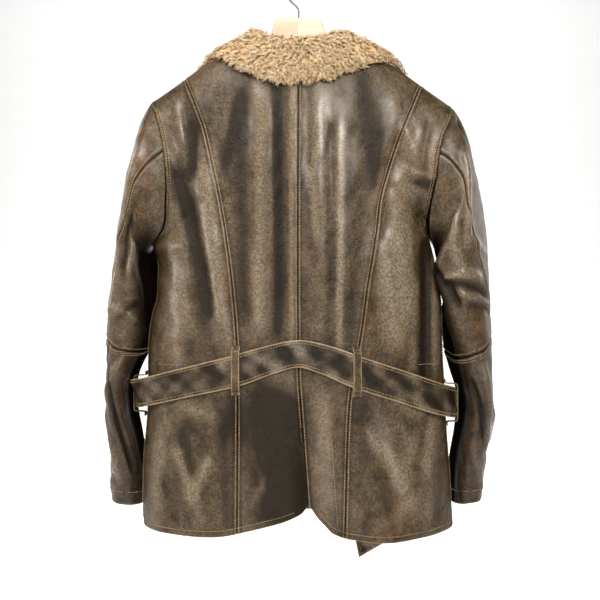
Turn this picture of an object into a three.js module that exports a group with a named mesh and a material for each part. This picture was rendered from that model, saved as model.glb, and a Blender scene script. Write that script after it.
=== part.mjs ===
// A worn leather coat, hip long, with a fur collar and a loose belt, hung on a wooden hanger.
//
// Millimetres, +Z up. The origin is the inside top of the hanger's hook, which is where the coat is held.
// The coat's back faces +Y and its front faces -Y, so the wearer's left is +X.
// Every panel is a wall of leather with its neighbours a seam's gap away. Tables are keyed by depth
// below the hook, which is -z, or by distance from the middle, and are read through a smooth curve.
import * as THREE from 'three';

// Leather and seams
const LEATHER = 1.8;
const BELT_LEATHER = 2.6;
const HALF_SEAM = 0.18;
const SEAT = 0.35;
const ARMHOLE_SEAT = 1.1;
const COLLAR_SEAT = 1.1;
const LAPEL_SEAT = 1.9;
const LAP_LIFT = 5.6;

// Half widths and heights of the body
const NECK_HALF = 75;
const HEM = 846;
const FRONT_HEM = 842;
const BREAK = 335;
const LAP_HALF = 32;
const ARMHOLE_DEPTH = 52;
const VENT_TOP = 706;
const VENT_UNDERLAP = 34;
const SHOULDER = [[0, 92], [60, 95], [75, 99], [98, 108], [131, 125], [148, 136], [176, 157.5], [205, 178],
  [228, 194.5], [238, 203]];
const BACK_NECK = [[0, 118], [20, 117], [40, 113], [60, 105], [75, 99]];
const FRONT_NECK = [[0, BREAK], [12, 318], [35, 255], [58, 165], [70, 116], [75, 99]];

// How far the middle of the back stands from the shoulder seam, by the root of the drop below it
const BACK_BULGE = [[0, 0], [2, 13], [4, 22.5], [6, 31], [9, 45], [12, 57], [16, 70], [20, 79], [24, 85],
  [28, 90]];
const FRONT_BULGE = [[0, 0], [2, 13], [4, 22.5], [6, 30], [9, 43], [12, 55], [16, 69], [20, 80], [24, 87],
  [28, 92]];

// The wearer's left, then right: shoulder tip, armpit, outer edge, and the princess seam of the back
const SIDES = {
  left: {
    sign: 1,
    tip: 194.5,
    armpit: 416,
    edge: [[194, 228], [222, 215.5], [249, 207.6], [272, 203], [300, 200], [325, 199], [355, 200.7],
      [378, 203], [392, 208], [404, 217], [416, 226], [430, 221], [446, 217], [474, 218], [495, 219],
      [517, 225], [540, 229.5], [577, 232.5], [664, 233.5], [733, 239], [788, 240.5], [828, 240.5],
      [846, 238]],
    princess: [[157, 176], [188, 162.5], [215, 151.4], [242, 141.6], [275, 133.4], [333, 120.5],
      [409, 106.7], [479, 97.5], [575, 90], [846, 89.5]],
  },
  right: {
    sign: -1,
    tip: 203,
    armpit: 405,
    edge: [[203, 238], [227, 230], [246, 220.7], [271, 213.5], [290, 210], [318, 206.6], [341, 202],
      [360, 199], [382, 198.3], [405, 203], [425, 208], [450, 213], [480, 218], [500, 221], [540, 222],
      [590, 223.5], [622, 225.5], [686, 228.5], [750, 233], [795, 235.6], [824, 237.5], [846, 239]],
    princess: [[165, 189.4], [186, 180], [214, 168.3], [244.5, 155], [279, 142.2], [319, 129.7], [356, 120.7],
      [397, 116], [432, 110], [479, 102], [551, 91.7], [631, 77], [688, 72.3], [846, 68]],
  },
};
const CENTRE_SEAM = [[100, 0], [590, 0], [700, -7], [846, -17.5]];

// The hem of the back, by x: it lifts towards the vent
const BACK_HEM = [[-242, 844], [-190, 850], [-130, 855], [-75, 848], [-50, 839], [-42, 831], [-28, 815],
  [-18, 800], [-6, 811], [22, 823], [52, 831], [85, 839], [115, 845], [160, 847], [242, 844]];

// Folds of the back: x and depth of both ends, height (below zero for a trough) and half width
const BACK_FOLDS = [
  [44, 200, 40, 520, 3.2, 13],
  [22, 190, 20, 500, -3.4, 10],
  [-30, 190, -38, 540, 2.8, 12],
  [-62, 250, -58, 520, 2.2, 12],
  [178, 300, 132, 505, -6, 14],
  [150, 330, 112, 540, 4.5, 13],
  [160, 235, 158, 300, -3.5, 10],
  [-176, 300, -196, 318, -4, 11],
  [-150, 330, -168, 520, 4, 16],
  [-194, 420, -190, 610, -9, 9],
  [-208, 430, -207, 600, 3, 9],
  [196, 440, 176, 600, 3.5, 14],
  [190, 690, 150, 775, -3.5, 13],
  [104, 680, 150, 775, -3, 12],
  [-120, 670, -168, 800, 4, 16],
  [-205, 690, -196, 840, 3.5, 14],
  [206, 700, 214, 840, 3.5, 13],
];
const FRONT_FOLDS = [
  [120, 300, 100, 560, 4, 16],
  [160, 330, 140, 560, -4, 14],
  [-116, 300, -98, 560, 4, 16],
  [-160, 330, -142, 560, -4, 14],
  [60, 620, 78, 830, 3, 18],
  [-64, 620, -84, 830, 3, 18],
  [170, 640, 186, 830, -3.5, 16],
  [-168, 640, -184, 830, -3.5, 16],
];

// Sleeves, ring by ring: outer x, outer depth, inner x, inner depth, half depth in y, middle y, lean in
const SLEEVES = {
  left: [
    [230, 195, 228, 415, 54, 0, 0],
    [243, 222, 234, 425, 62, -3, 0],
    [253.5, 264, 240, 440, 70, -6, 0],
    [267, 322, 240, 462, 75, -10, 0],
    [279.5, 392, 235, 497, 77, -14, 0.02],
    [291, 470, 235, 542, 75, -20, 0.02],
    [298, 555, 240, 578, 70, -27, 0.02],
    [299, 650, 262, 640, 66, -36, 0],
    [298, 742, 244, 750, 58, -46, 0],
    [297, 815, 243, 819, 50, -54, 0],
  ],
  right: [
    [239, 203, 206, 404, 52, 0, 0],
    [256, 232, 216, 416, 60, -3, 0.03],
    [269, 268, 224, 430, 68, -6, 0.1],
    [281, 322, 227, 452, 74, -8, 0.2],
    [291, 388, 227, 480, 77, -11, 0.26],
    [299, 470, 231, 520, 75, -17, 0.2],
    [302, 555, 241, 588, 70, -25, 0.06],
    [304, 650, 256, 662, 64, -35, 0],
    [298, 742, 243, 750, 56, -46, 0],
    [291, 812, 242, 819, 50, -54, 0],
  ],
};
// Where a sleeve sags in towards the body: place along it, angle, how far, and the half widths of both
const SAGS = {
  left: [[0.38, 225, 20, 0.19, 38], [0.58, 222, 13, 0.1, 28]],
  right: [[0.42, 325, 14, 0.1, 35], [0.6, 222, 16, 0.14, 32]],
};

// The elbow seam as a share of the sleeve, and how far it dips at the back
const ELBOW = 0.655;
const ELBOW_DIP = 0.022;
const ELBOW_GAP = 0.0007;
const SEAM_ANGLE_GAP = 0.2;
const BACK_SEAM_ANGLE = { left: [[0, 16], [0.3, 10], [0.45, 30], [0.6, 62], [0.7, 74]],
  right: [[0, 14], [0.3, 20], [0.45, 38], [0.6, 66], [0.7, 76]] };
const FRONT_SEAM_ANGLE = 205;

// The collar: neck edge and outer edge, by x and depth, from the middle of the back to the front end
const COLLAR_BACK = {
  left: [[0, 0, 117, 0, 181], [0.2, 20, 116.5, 30, 182], [0.4, 38, 113, 57, 172], [0.6, 54, 107.5, 82, 161],
    [0.75, 64, 103, 104, 151], [0.87, 70, 100.6, 124, 138], [0.95, 73, 99.2, 140, 134.5],
    [1, 74.5, 98.7, 148, 136]],
  right: [[0, 0, 117, 0, 181], [0.2, 20, 116.5, 29, 179], [0.4, 38, 113, 58, 172], [0.6, 54, 107.5, 92, 156],
    [0.75, 64, 103, 122, 148], [0.87, 70, 100.6, 144, 143], [0.95, 73, 99.2, 156, 143.5],
    [1, 74.5, 98.7, 164, 148]],
};
const COLLAR_FRONT = {
  left: [[0, 74.5, 98.7, 148, 136], [0.06, 74, 100, 160, 148], [0.16, 72, 108, 172, 166],
    [0.36, 64, 140, 170, 205], [0.6, 49, 205, 142, 262], [0.8, 36, 255, 105, 305], [1, 24, 300, 62, 334]],
  right: [[0, 74.5, 98.7, 164, 148], [0.06, 74, 100, 174, 157], [0.16, 72, 108, 182, 172],
    [0.36, 64, 140, 178, 208], [0.6, 49, 205, 146, 264], [0.8, 36, 255, 105, 305], [1, 24, 300, 62, 334]],
};
const FUR = { left: 13, right: 17 };
const ROLL = 22;

// The belt, as it passes round the body: x, y, depth of its middle, width
const BELT_ROUTE = [
  [110, -106, 640, 46], [168, -97, 643, 46], [213, -76, 645, 46], [234, -48, 644, 45], [246, -20, 643, 44],
  [251, 12, 642, 43], [228, 44, 636, 43], [166, 71, 620, 44], [92, 84, 602, 46], [42, 86.2, 586, 42],
  [0, 86.5, 577, 40], [-40, 86.2, 586, 43], [-86, 84, 604, 47], [-152, 72.5, 626, 47], [-206, 52, 645, 47],
  [-234, 26, 654, 46], [-243, -2, 657, 46], [-233, -40, 656, 46], [-206, -76, 654, 46], [-160, -98, 651, 46],
  [-110, -105, 649, 46],
];
const BELT_FOLD_RADIUS = 7;
const BELT_ENDS = {
  left: { sign: 1, length: 190, lean: 6, slant: -16 },
  right: { sign: -1, length: 288, lean: 11, slant: -19 },
};
const FOLD_AHEAD = 26;
const LOOP_WIDTH = 12;
const LOOP_LEATHER = 1.5;
const LOOP_EASE = 1.1;
const BUTTONS = [392, 486, 580];
const BUTTON_RADIUS = 14;
const BUTTON_THICK = 4;
const BUTTON_X = 12;

// The hanger: wood and hook
const ARM_END = 208;
const WOOD_TOP = [[0, 62], [33, 62], [35, 64], [41, 81], [48, 95], [60, 103], [75, 107.8], [90, 112.4]];
const WOOD_HEIGHT = [[0, 58], [35, 50], [48, 34], [75, 31], [208, 30]];
const WOOD_HALF_DEPTH = [[0, 8], [48, 8], [90, 11], [208, 19]];
const WIRE = 1.9;
const HOOK_RADIUS = 18;

// A smooth curve through a table of [key, value, value...] rows with rising keys
function smooth(table, key, column = 1) {
  const last = table.length - 1;
  if (key <= table[0][0]) {
    return table[0][column];
  }
  if (key >= table[last][0]) {
    return table[last][column];
  }
  let i = 0;
  while (table[i + 1][0] < key) {
    i += 1;
  }
  const slope = (k) => {
    const a = Math.max(k - 1, 0);
    const b = Math.min(k + 1, last);
    return (table[b][column] - table[a][column]) / (table[b][0] - table[a][0]);
  };
  const span = table[i + 1][0] - table[i][0];
  const t = (key - table[i][0]) / span;
  const t2 = t * t;
  const t3 = t2 * t;
  return table[i][column] * (2 * t3 - 3 * t2 + 1) + table[i + 1][column] * (3 * t2 - 2 * t3)
    + span * (slope(i) * (t3 - 2 * t2 + t) + slope(i + 1) * (t3 - t2));
}

function ramp(from, to, value) {
  const t = THREE.MathUtils.clamp((value - from) / (to - from), 0, 1);
  return t * t * (3 - 2 * t);
}

// Height of every fold at x and depth, each a soft ridge or trough along a line
function folds(list, x, depth) {
  let height = 0;
  for (const [x1, d1, x2, d2, rise, half] of list) {
    const length = Math.hypot(x2 - x1, d2 - d1);
    const along = ((x - x1) * (x2 - x1) + (depth - d1) * (d2 - d1)) / length;
    const across = ((x - x1) * (d2 - d1) - (depth - d1) * (x2 - x1)) / length;
    const fade = ramp(-40, 20, along) * ramp(length + 40, length - 20, along);
    height += rise * fade * Math.exp(-((across / half) ** 2));
  }
  return height;
}

// Depth of the shoulder seam below the hook, carried on across the neck
const shoulder = (x) => smooth(SHOULDER, Math.abs(x));
const sideOf = (x) => (x >= 0 ? SIDES.left : SIDES.right);

// How far the body's surface stands from the plane of the seams, at x and depth
function bodyDepth(back, x, depth) {
  const side = sideOf(x);
  const drop = Math.max(depth - shoulder(x), 0);
  const middle = smooth(back ? BACK_BULGE : FRONT_BULGE, Math.sqrt(drop));
  const half = (side.armpit - side.tip) / 2;
  const down = (drop - half) / half;
  const edge = down < 1 ? ARMHOLE_DEPTH * Math.sqrt(Math.max(1 - down * down, 0)) : 0;
  const share = THREE.MathUtils.clamp(Math.abs(x) / smooth(side.edge, depth), 0, 1);
  const power = 1 - 0.5 * ramp(0.35, 1.1, (down + 1) / 2);
  const across = Math.pow(1 - Math.pow(share, 3), power);
  const calm = ramp(1, 0.86, share) * ramp(6, 60, drop);
  return edge + (middle - edge) * across + calm * folds(back ? BACK_FOLDS : FRONT_FOLDS, x, depth);
}

// A point on the body. Lift moves it out of the leather, along the body's own normal
function bodyPoint(back, x, depth, lift = 0) {
  const sign = back ? 1 : -1;
  const at = (px, pd) => new THREE.Vector3(px, sign * (HALF_SEAM + bodyDepth(back, px, pd)), -pd);
  const point = at(x, depth);
  if (lift === 0) {
    return point;
  }
  return point.addScaledVector(bodyNormal(back, x, depth), lift);
}

function bodyNormal(back, x, depth) {
  const step = 1.5;
  const sign = back ? 1 : -1;
  const inside = Math.sign(x || 1) * step;
  const dx = (bodyDepth(back, x, depth) - bodyDepth(back, x - inside, depth)) / inside;
  const dz = -(bodyDepth(back, x, depth + step) - bodyDepth(back, x, depth)) / step;
  return new THREE.Vector3(-dx, sign, -dz).normalize();
}

// One closed wall from a grid of outer points and a grid of inner points. A closed grid joins its ends
function wall(outer, inner, closed = false) {
  const rows = outer.length;
  const columns = outer[0].length;
  const positions = [];
  for (const grid of [outer, inner]) {
    for (const row of grid) {
      for (const p of row) {
        positions.push(p.x, p.y, p.z);
      }
    }
  }
  const shift = rows * columns;
  const index = [];
  const quad = (a, b, c, d) => index.push(a, b, c, a, c, d);
  const at = (r, c) => r * columns + (c % columns);
  const spans = closed ? columns : columns - 1;
  for (let r = 0; r < rows - 1; r += 1) {
    for (let c = 0; c < spans; c += 1) {
      quad(at(r, c), at(r, c + 1), at(r + 1, c + 1), at(r + 1, c));
      quad(at(r, c) + shift, at(r + 1, c) + shift, at(r + 1, c + 1) + shift, at(r, c + 1) + shift);
    }
  }
  for (let c = 0; c < spans; c += 1) {
    quad(at(0, c + 1), at(0, c), at(0, c) + shift, at(0, c + 1) + shift);
    const end = rows - 1;
    quad(at(end, c), at(end, c + 1), at(end, c + 1) + shift, at(end, c) + shift);
  }
  if (!closed) {
    const end = columns - 1;
    for (let r = 0; r < rows - 1; r += 1) {
      quad(at(r, 0), at(r + 1, 0), at(r + 1, 0) + shift, at(r, 0) + shift);
      quad(at(r + 1, end), at(r, end), at(r, end) + shift, at(r + 1, end) + shift);
    }
  }
  return solid(positions, index);
}

// A closed solid from points and faces, its faces turned round if they point inwards
function solid(positions, index) {
  let volume = 0;
  const corner = (i) => new THREE.Vector3(...positions.slice(3 * i, 3 * i + 3));
  for (let i = 0; i < index.length; i += 3) {
    const [a, b, c] = [corner(index[i]), corner(index[i + 1]), corner(index[i + 2])];
    volume += a.dot(b.cross(c));
  }
  if (volume < 0) {
    for (let i = 0; i < index.length; i += 3) {
      [index[i + 1], index[i + 2]] = [index[i + 2], index[i + 1]];
    }
  }
  const geometry = new THREE.BufferGeometry();
  geometry.setAttribute('position', new THREE.Float32BufferAttribute(positions, 3));
  geometry.setIndex(index);
  geometry.computeVertexNormals();
  return geometry;
}

// A loft through closed sections of the same number of points, capped by a fan at each end
function loft(sections) {
  const count = sections[0].length;
  const positions = sections.flat().flatMap((p) => [p.x, p.y, p.z]);
  const index = [];
  for (let s = 0; s < sections.length - 1; s += 1) {
    for (let i = 0; i < count; i += 1) {
      const a = s * count + i;
      const b = s * count + ((i + 1) % count);
      index.push(a, b, b + count, a, b + count, a + count);
    }
  }
  for (const s of [0, sections.length - 1]) {
    const middle = sections[s].reduce((sum, p) => sum.add(p), new THREE.Vector3()).divideScalar(count);
    positions.push(middle.x, middle.y, middle.z);
    const hub = positions.length / 3 - 1;
    for (let i = 0; i < count; i += 1) {
      const a = s * count + i;
      const b = s * count + ((i + 1) % count);
      index.push(...(s === 0 ? [hub, b, a] : [hub, a, b]));
    }
  }
  return solid(positions, index);
}

const coat = new THREE.Group();
function finish(color, roughness, metalness = 0) {
  return new THREE.MeshStandardMaterial({ color, roughness, metalness });
}

function add(name, geometry, material) {
  const mesh = new THREE.Mesh(geometry, material);
  mesh.name = name;
  coat.add(mesh);
}

const leather = finish(0x5c4a38, 0.5);
const darkLeather = finish(0x45362a, 0.42);
const fur = finish(0xb59468, 0.95);
const wood = finish(0xd9a982, 0.55);
const steel = finish(0xb9bcc0, 0.3, 1);
const horn = finish(0x3a281c, 0.35);

// A panel of the body between two lines, from its top line down to its hem
function panel(back, near, far, top, hem, columns, rows, outward = () => 0, lean = 1) {
  const outer = [];
  const inner = [];
  for (let r = 0; r <= rows; r += 1) {
    const t = r / rows;
    const outerRow = [];
    const innerRow = [];
    for (let c = 0; c <= columns; c += 1) {
      const share = 1 - Math.pow(1 - c / columns, lean);
      const xAt = (depth) => near(depth) + (far(depth) - near(depth)) * share;
      let start = top(xAt(150));
      for (let i = 0; i < 12; i += 1) {
        start = top(xAt(start));
      }
      const end = hem(xAt(HEM - 10));
      const depth = start + (end - start) * t * t * (1.6 - 0.6 * t);
      const x = xAt(depth);
      const out = outward(x, depth);
      const p = bodyPoint(back, x, depth, out);
      const q = bodyPoint(back, x, depth, out - LEATHER);
      q.y = back ? Math.max(q.y, HALF_SEAM) : Math.min(q.y, -HALF_SEAM);
      outerRow.push(p);
      innerRow.push(q);
    }
    outer.push(outerRow);
    inner.push(innerRow);
  }
  return wall(outer, inner);
}

// The four back panels, the middle seam open below as a vent whose right flap laps over the left
const backTop = (x) => (Math.abs(x) < NECK_HALF ? smooth(BACK_NECK, Math.abs(x)) : shoulder(x));
const backHem = (x) => smooth(BACK_HEM, x);
const centre = (depth) => smooth(CENTRE_SEAM, depth);

function underlap(x, depth) {
  const under = ramp(30, 2, x - centre(depth)) * ramp(650, VENT_TOP - 14, depth);
  return -(LEATHER + 1.6) * under - 6 * ramp(24, -14, x - centre(depth)) * ramp(VENT_TOP, HEM, depth);
}

for (const [name, side] of Object.entries(SIDES)) {
  const s = side.sign;
  const seam = (depth) => s * smooth(side.princess, depth);
  const edge = (depth) => s * smooth(side.edge, depth);
  const lap = (depth) => (s > 0 ? -VENT_UNDERLAP * ramp(VENT_TOP, VENT_TOP + 30, depth) : 0);
  const near = (depth) => centre(depth) + s * HALF_SEAM + lap(depth);
  add(`back_${name}_centre`, panel(true, near, (d) => seam(d) - s * HALF_SEAM, backTop, backHem, 7, 24,
    s > 0 ? underlap : undefined), leather);
  add(`back_${name}_side`, panel(true, (d) => seam(d) + s * HALF_SEAM, edge, backTop, backHem, 8, 24,
    undefined, 1.9), leather);
}

// The two fronts, the wearer's right lapped over the left at the middle
const frontTop = (x) => (Math.abs(x) < NECK_HALF ? smooth(FRONT_NECK, Math.abs(x)) : shoulder(x));
const frontHem = () => FRONT_HEM;
const overlap = (x) => LAP_LIFT * ramp(-LAP_HALF - 46, -LAP_HALF - 10, x);
for (const [name, side] of Object.entries(SIDES)) {
  const s = side.sign;
  const near = (depth) => -s * LAP_HALF * ramp(250, BREAK, depth) + s * 2;
  const edge = (depth) => s * smooth(side.edge, depth);
  add(`front_${name}`, panel(false, near, edge, (x) => frontTop(s * Math.max(s * x, 0)), frontHem, 10, 20,
    s < 0 ? overlap : undefined, 1.5), leather);
}

function sag(name, t, angle) {
  return SAGS[name].reduce((sum, [at, towards, reach, long, wide]) => {
    const turn = ((THREE.MathUtils.radToDeg(angle) - towards + 900) % 360) - 180;
    return sum + reach * Math.exp(-(((t - at) / long) ** 2) - (turn / wide) ** 2);
  }, 0);
}

// A sleeve's surface: t runs from the armhole to the cuff, the angle starts at the back and goes outside
function sleevePoint(name, t, angle) {
  const side = SIDES[name];
  const rings = SLEEVES[name].map((ring, i, all) => [i / (all.length - 1), ...ring]);
  const [ox, od, ix, id, deep, middle, lean] = [1, 2, 3, 4, 5, 6, 7].map((k) => smooth(rings, t, k));
  const out = Math.sin(angle);
  const rear = Math.cos(angle);
  const round = (v) => Math.sign(v) * Math.pow(Math.abs(v), 0.86);
  const y = middle + deep * round(rear);
  const x = (ox + ix) / 2 + ((ox - ix) / 2) * round(out) - lean * (y - middle) - sag(name, t, angle);
  const d = (od + id) / 2 + ((od - id) / 2) * out;
  const half = (side.armpit - side.tip) / 2;
  const holeDepth = side.tip + half - half * out;
  const hole = [smooth(side.edge, holeDepth) + ARMHOLE_SEAT, ARMHOLE_DEPTH * rear, holeDepth];
  const blend = ramp(0, 0.2, t);
  const mix = (a, b) => a + (b - a) * blend;
  return new THREE.Vector3(side.sign * mix(hole[0], x), mix(hole[1], y), -mix(hole[2], d));
}

function sleeveWall(name, topAt, bottomAt, fromAt, toAt, columns, rows, closed = false) {
  const outer = [];
  const inner = [];
  const s = SIDES[name].sign;
  for (let r = 0; r <= rows; r += 1) {
    const outerRow = [];
    const innerRow = [];
    for (let c = 0; c < (closed ? columns : columns + 1); c += 1) {
      const angleAt = (t) => THREE.MathUtils.degToRad(fromAt(t) + (toAt(t) - fromAt(t)) * (c / columns));
      const high = topAt(angleAt(0));
      const low = bottomAt(angleAt(ELBOW));
      const t = high + (low - high) * (r / rows);
      const angle = angleAt(t);
      const p = sleevePoint(name, t, angle);
      const below = sleevePoint(name, Math.min(t + 0.004, 1), angle);
      const along = below.sub(sleevePoint(name, Math.max(t - 0.004, 0), angle));
      const round = sleevePoint(name, t, angle + 0.02).sub(sleevePoint(name, t, angle - 0.02));
      const normal = along.cross(round).normalize().multiplyScalar(s);
      outerRow.push(p);
      innerRow.push(p.clone().addScaledVector(normal, -LEATHER));
    }
    outer.push(outerRow);
    inner.push(innerRow);
  }
  return wall(outer, inner, closed);
}

for (const name of ['left', 'right']) {
  const elbow = (angle) => ELBOW + ELBOW_DIP * Math.pow(0.5 + 0.5 * Math.cos(angle), 1.5);
  const backSeam = (t) => smooth(BACK_SEAM_ANGLE[name], t);
  add(`top_sleeve_${name}`, sleeveWall(name, () => 0, (a) => elbow(a) - ELBOW_GAP,
    (t) => backSeam(t) + SEAM_ANGLE_GAP, () => FRONT_SEAM_ANGLE - SEAM_ANGLE_GAP, 10, 12), leather);
  add(`under_sleeve_${name}`, sleeveWall(name, () => 0, (a) => elbow(a) - ELBOW_GAP,
    () => FRONT_SEAM_ANGLE + SEAM_ANGLE_GAP, (t) => 360 + backSeam(t) - SEAM_ANGLE_GAP, 9, 12), leather);
  add(`lower_sleeve_${name}`, sleeveWall(name, (a) => elbow(a) + ELBOW_GAP, () => 1, () => 0, () => 360, 18, 7,
    true), darkLeather);
}

// The collar: under it the body's surface, over it the reach of its fur, rolled at the neck
function collarSection(back, name, row) {
  const s = SIDES[name].sign;
  const [, neckX, neckDepth, fallX, fallDepth] = row;
  const thick = FUR[name];
  const under = [];
  const over = [];
  const steps = 4;
  for (let i = 0; i <= steps; i += 1) {
    const share = i / steps;
    const x = s * (fallX + (neckX - fallX) * share);
    const fallDrop = fallDepth - shoulder(fallX);
    const neckDrop = neckDepth - shoulder(neckX);
    const depth = shoulder(x) + Math.max(fallDrop + (neckDrop - fallDrop) * share, 0);
    const lapped = back || s > 0 ? 0 : overlap(x);
    const seat = bodyPoint(back, x, depth, (back ? COLLAR_SEAT : LAPEL_SEAT) + lapped);
    const normal = bodyNormal(back, x, depth);
    const full = thick * (i === 0 ? 0.45 : 1);
    under.push(seat);
    over.push(seat.clone().addScaledVector(normal, full));
  }
  const neck = under[steps];
  const crown = over[steps];
  const inward = new THREE.Vector3(-neck.x, back ? -neck.y : 0, 0).normalize();
  const up = new THREE.Vector3(0, 0, 1);
  const rise = back ? 1 : 1 - 0.75 * ramp(100, 220, neckDepth);
  const foot = neck.clone().addScaledVector(inward, 5);
  const heel = foot.clone().addScaledVector(up, ROLL * 0.6 * rise).addScaledVector(inward, 3);
  const roll = neck.clone().addScaledVector(up, ROLL * rise).addScaledVector(inward, 1);
  const shoulderPoint = roll.clone().lerp(crown, 0.55).addScaledVector(up, 2.5 * rise);
  return [...under, foot, heel, roll, shoulderPoint, ...over.slice(0, steps).reverse()];
}

const collarRows = [];
const backSteps = [0.2, 0.4, 0.6, 0.75, 0.87, 0.95];
const frontSteps = [0, 0.06, 0.16, 0.26, 0.36, 0.48, 0.6, 0.7, 0.8, 0.9, 1];
const rowAt = (table, t) => [t, ...[1, 2, 3, 4].map((k) => smooth(table, t, k))];
for (const t of [...frontSteps].reverse()) {
  collarRows.push(collarSection(false, 'left', rowAt(COLLAR_FRONT.left, t)));
}
for (const t of [...backSteps].reverse()) {
  collarRows.push(collarSection(true, 'left', rowAt(COLLAR_BACK.left, t)));
}
collarRows.push(collarSection(true, 'left', rowAt(COLLAR_BACK.left, 0)));
for (const t of backSteps) {
  collarRows.push(collarSection(true, 'right', rowAt(COLLAR_BACK.right, t)));
}
for (const t of frontSteps) {
  collarRows.push(collarSection(false, 'right', rowAt(COLLAR_FRONT.right, t)));
}
add('fur_collar', loft(collarRows), fur);

// The belt's frame at each step of its route: where it is, which way is out, and its width
const route = new THREE.CatmullRomCurve3(BELT_ROUTE.map(([x, y, d]) => new THREE.Vector3(x, y, -d)), false,
  'centripetal');
const widths = BELT_ROUTE.map((row, i) => [i, row[3]]);

function beltFrame(t) {
  const middle = route.getPoint(t);
  const along = route.getTangent(t);
  const up = new THREE.Vector3(0, 0, 1).addScaledVector(along, -along.z).normalize();
  const out = new THREE.Vector3().crossVectors(along, up).normalize();
  if (out.x * middle.x + out.y * middle.y < 0) {
    out.negate();
  }
  return { middle, along, up, out, width: smooth(widths, t * (widths.length - 1)) };
}

const foldAxis = (end) => THREE.MathUtils.degToRad(-(90 + end.lean)) / 2;

// A point of the free end, s along it from the route's end and w across it. It folds over a slanted
// roll and hangs down, leaning, its tip cut at a slant
function beltEndPoint(end, s, w, lift) {
  const frame = beltFrame(end.sign > 0 ? 0 : 1);
  const run = new THREE.Vector3(-end.sign, 0, 0);
  const axis = foldAxis(end);
  const e = [Math.cos(axis), Math.sin(axis)];
  const p = s * e[0] + w * e[1];
  const q = s * -e[1] + w * e[0];
  const r = BELT_FOLD_RADIUS;
  let [flat, off, tilt] = [q, 0, 0];
  if (q > Math.PI * r) {
    [flat, off, tilt] = [-(q - Math.PI * r), 2 * r, Math.PI];
  } else if (q > 0) {
    [flat, off, tilt] = [r * Math.sin(q / r), r * (1 - Math.cos(q / r)), q / r];
  }
  flat -= Math.sin(tilt) * lift;
  off += Math.cos(tilt) * lift;
  const a = p * e[0] - flat * e[1];
  const b = p * e[1] + flat * e[0];
  return frame.middle.clone().addScaledVector(run, a + FOLD_AHEAD).add(new THREE.Vector3(0, -off, b));
}

function beltGrids() {
  const outer = [];
  const inner = [];
  const across = 3;
  const row = (make) => {
    const rows = [[], []];
    for (let c = 0; c <= across; c += 1) {
      const w = c / across - 0.5;
      rows[0].push(make(w, BELT_LEATHER / 2));
      rows[1].push(make(w, -BELT_LEATHER / 2));
    }
    outer.push(rows[0]);
    inner.push(rows[1]);
  };
  // Rows of a free end: square before the fold, along the fold while it rolls, square again below it
  const hang = (end, width) => {
    const axis = foldAxis(end);
    const along = Math.cos(axis) / Math.sin(axis);
    const rolls = 7;
    const rows = [[-0.5 * width, 0]];
    for (let i = 0; i <= rolls; i += 1) {
      const q = Math.PI * BELT_FOLD_RADIUS * (i / rolls);
      rows.push([-q / Math.sin(axis), along]);
    }
    const turned = 1.12 * width;
    for (let i = 0; i <= 5; i += 1) {
      rows.push([turned + ((end.length - turned) * i) / 5, 0]);
    }
    const cut = Math.tan(THREE.MathUtils.degToRad(end.slant));
    return rows.map(([s, shear]) => (w, lift) => {
      const tip = cut * ramp(end.length - 60, end.length, s);
      return beltEndPoint(end, s + (shear + tip) * w * width, w * width, lift);
    });
  };
  hang(BELT_ENDS.left, BELT_ROUTE[0][3]).reverse().forEach(row);
  const steps = 40;
  for (let i = 0; i <= steps; i += 1) {
    const frame = beltFrame(i / steps);
    row((w, lift) => frame.middle.clone().addScaledVector(frame.up, w * frame.width)
      .addScaledVector(frame.out, lift));
  }
  hang(BELT_ENDS.right, BELT_ROUTE[BELT_ROUTE.length - 1][3]).forEach(row);
  return [outer, inner];
}
add('belt', wall(...beltGrids()), darkLeather);

// Belt loops: straps that lie on the body above the belt, pass over it and lie on the body again
function loop(name, t, onSide) {
  const { middle, out, width } = beltFrame(t);
  const up = new THREE.Vector3(0, 0, 1);
  const side = new THREE.Vector3().crossVectors(up, out).normalize();
  const half = width / 2 + 4;
  const seatAt = (u) => {
    const depth = -middle.z - u;
    const edge = sideOf(middle.x).sign * smooth(sideOf(middle.x).edge, depth);
    const place = onSide ? new THREE.Vector3(edge, middle.y, -depth) : bodyPoint(true, middle.x, depth);
    return place.sub(middle).dot(out) + (onSide ? 2 : 1) * SEAT;
  };
  const over = BELT_LEATHER / 2 + LOOP_EASE;
  const rise = onSide ? 2 : 3;
  const path = [[seatAt(half + 9), half + 9], [seatAt(half + rise), half + rise], [over, half + 1.2],
    [over + 0.3, half - 8], [over + 0.3, 0], [over + 0.3, 8 - half], [over, -half - 1.2],
    [seatAt(-half - rise), -half - rise], [seatAt(-half - 9), -half - 9]];
  const outer = [];
  const inner = [];
  path.forEach(([o, u], i) => {
    const before = path[Math.max(i - 1, 0)];
    const after = path[Math.min(i + 1, path.length - 1)];
    const run = new THREE.Vector2(after[0] - before[0], after[1] - before[1]).normalize();
    const place = (away, w) => middle.clone().addScaledVector(out, o - run.y * away)
      .addScaledVector(up, u + run.x * away).addScaledVector(side, w * LOOP_WIDTH);
    outer.push([-0.5, 0, 0.5].map((w) => place(LOOP_LEATHER, w)));
    inner.push([-0.5, 0, 0.5].map((w) => place(0, w)));
  });
  add(name, wall(outer, inner), leather);
}
loop('belt_loop_back_left', 0.4, false);
loop('belt_loop_back_right', 0.6, false);
loop('belt_loop_side_left', 0.225, true);
loop('belt_loop_side_right', 0.8, true);

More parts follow.
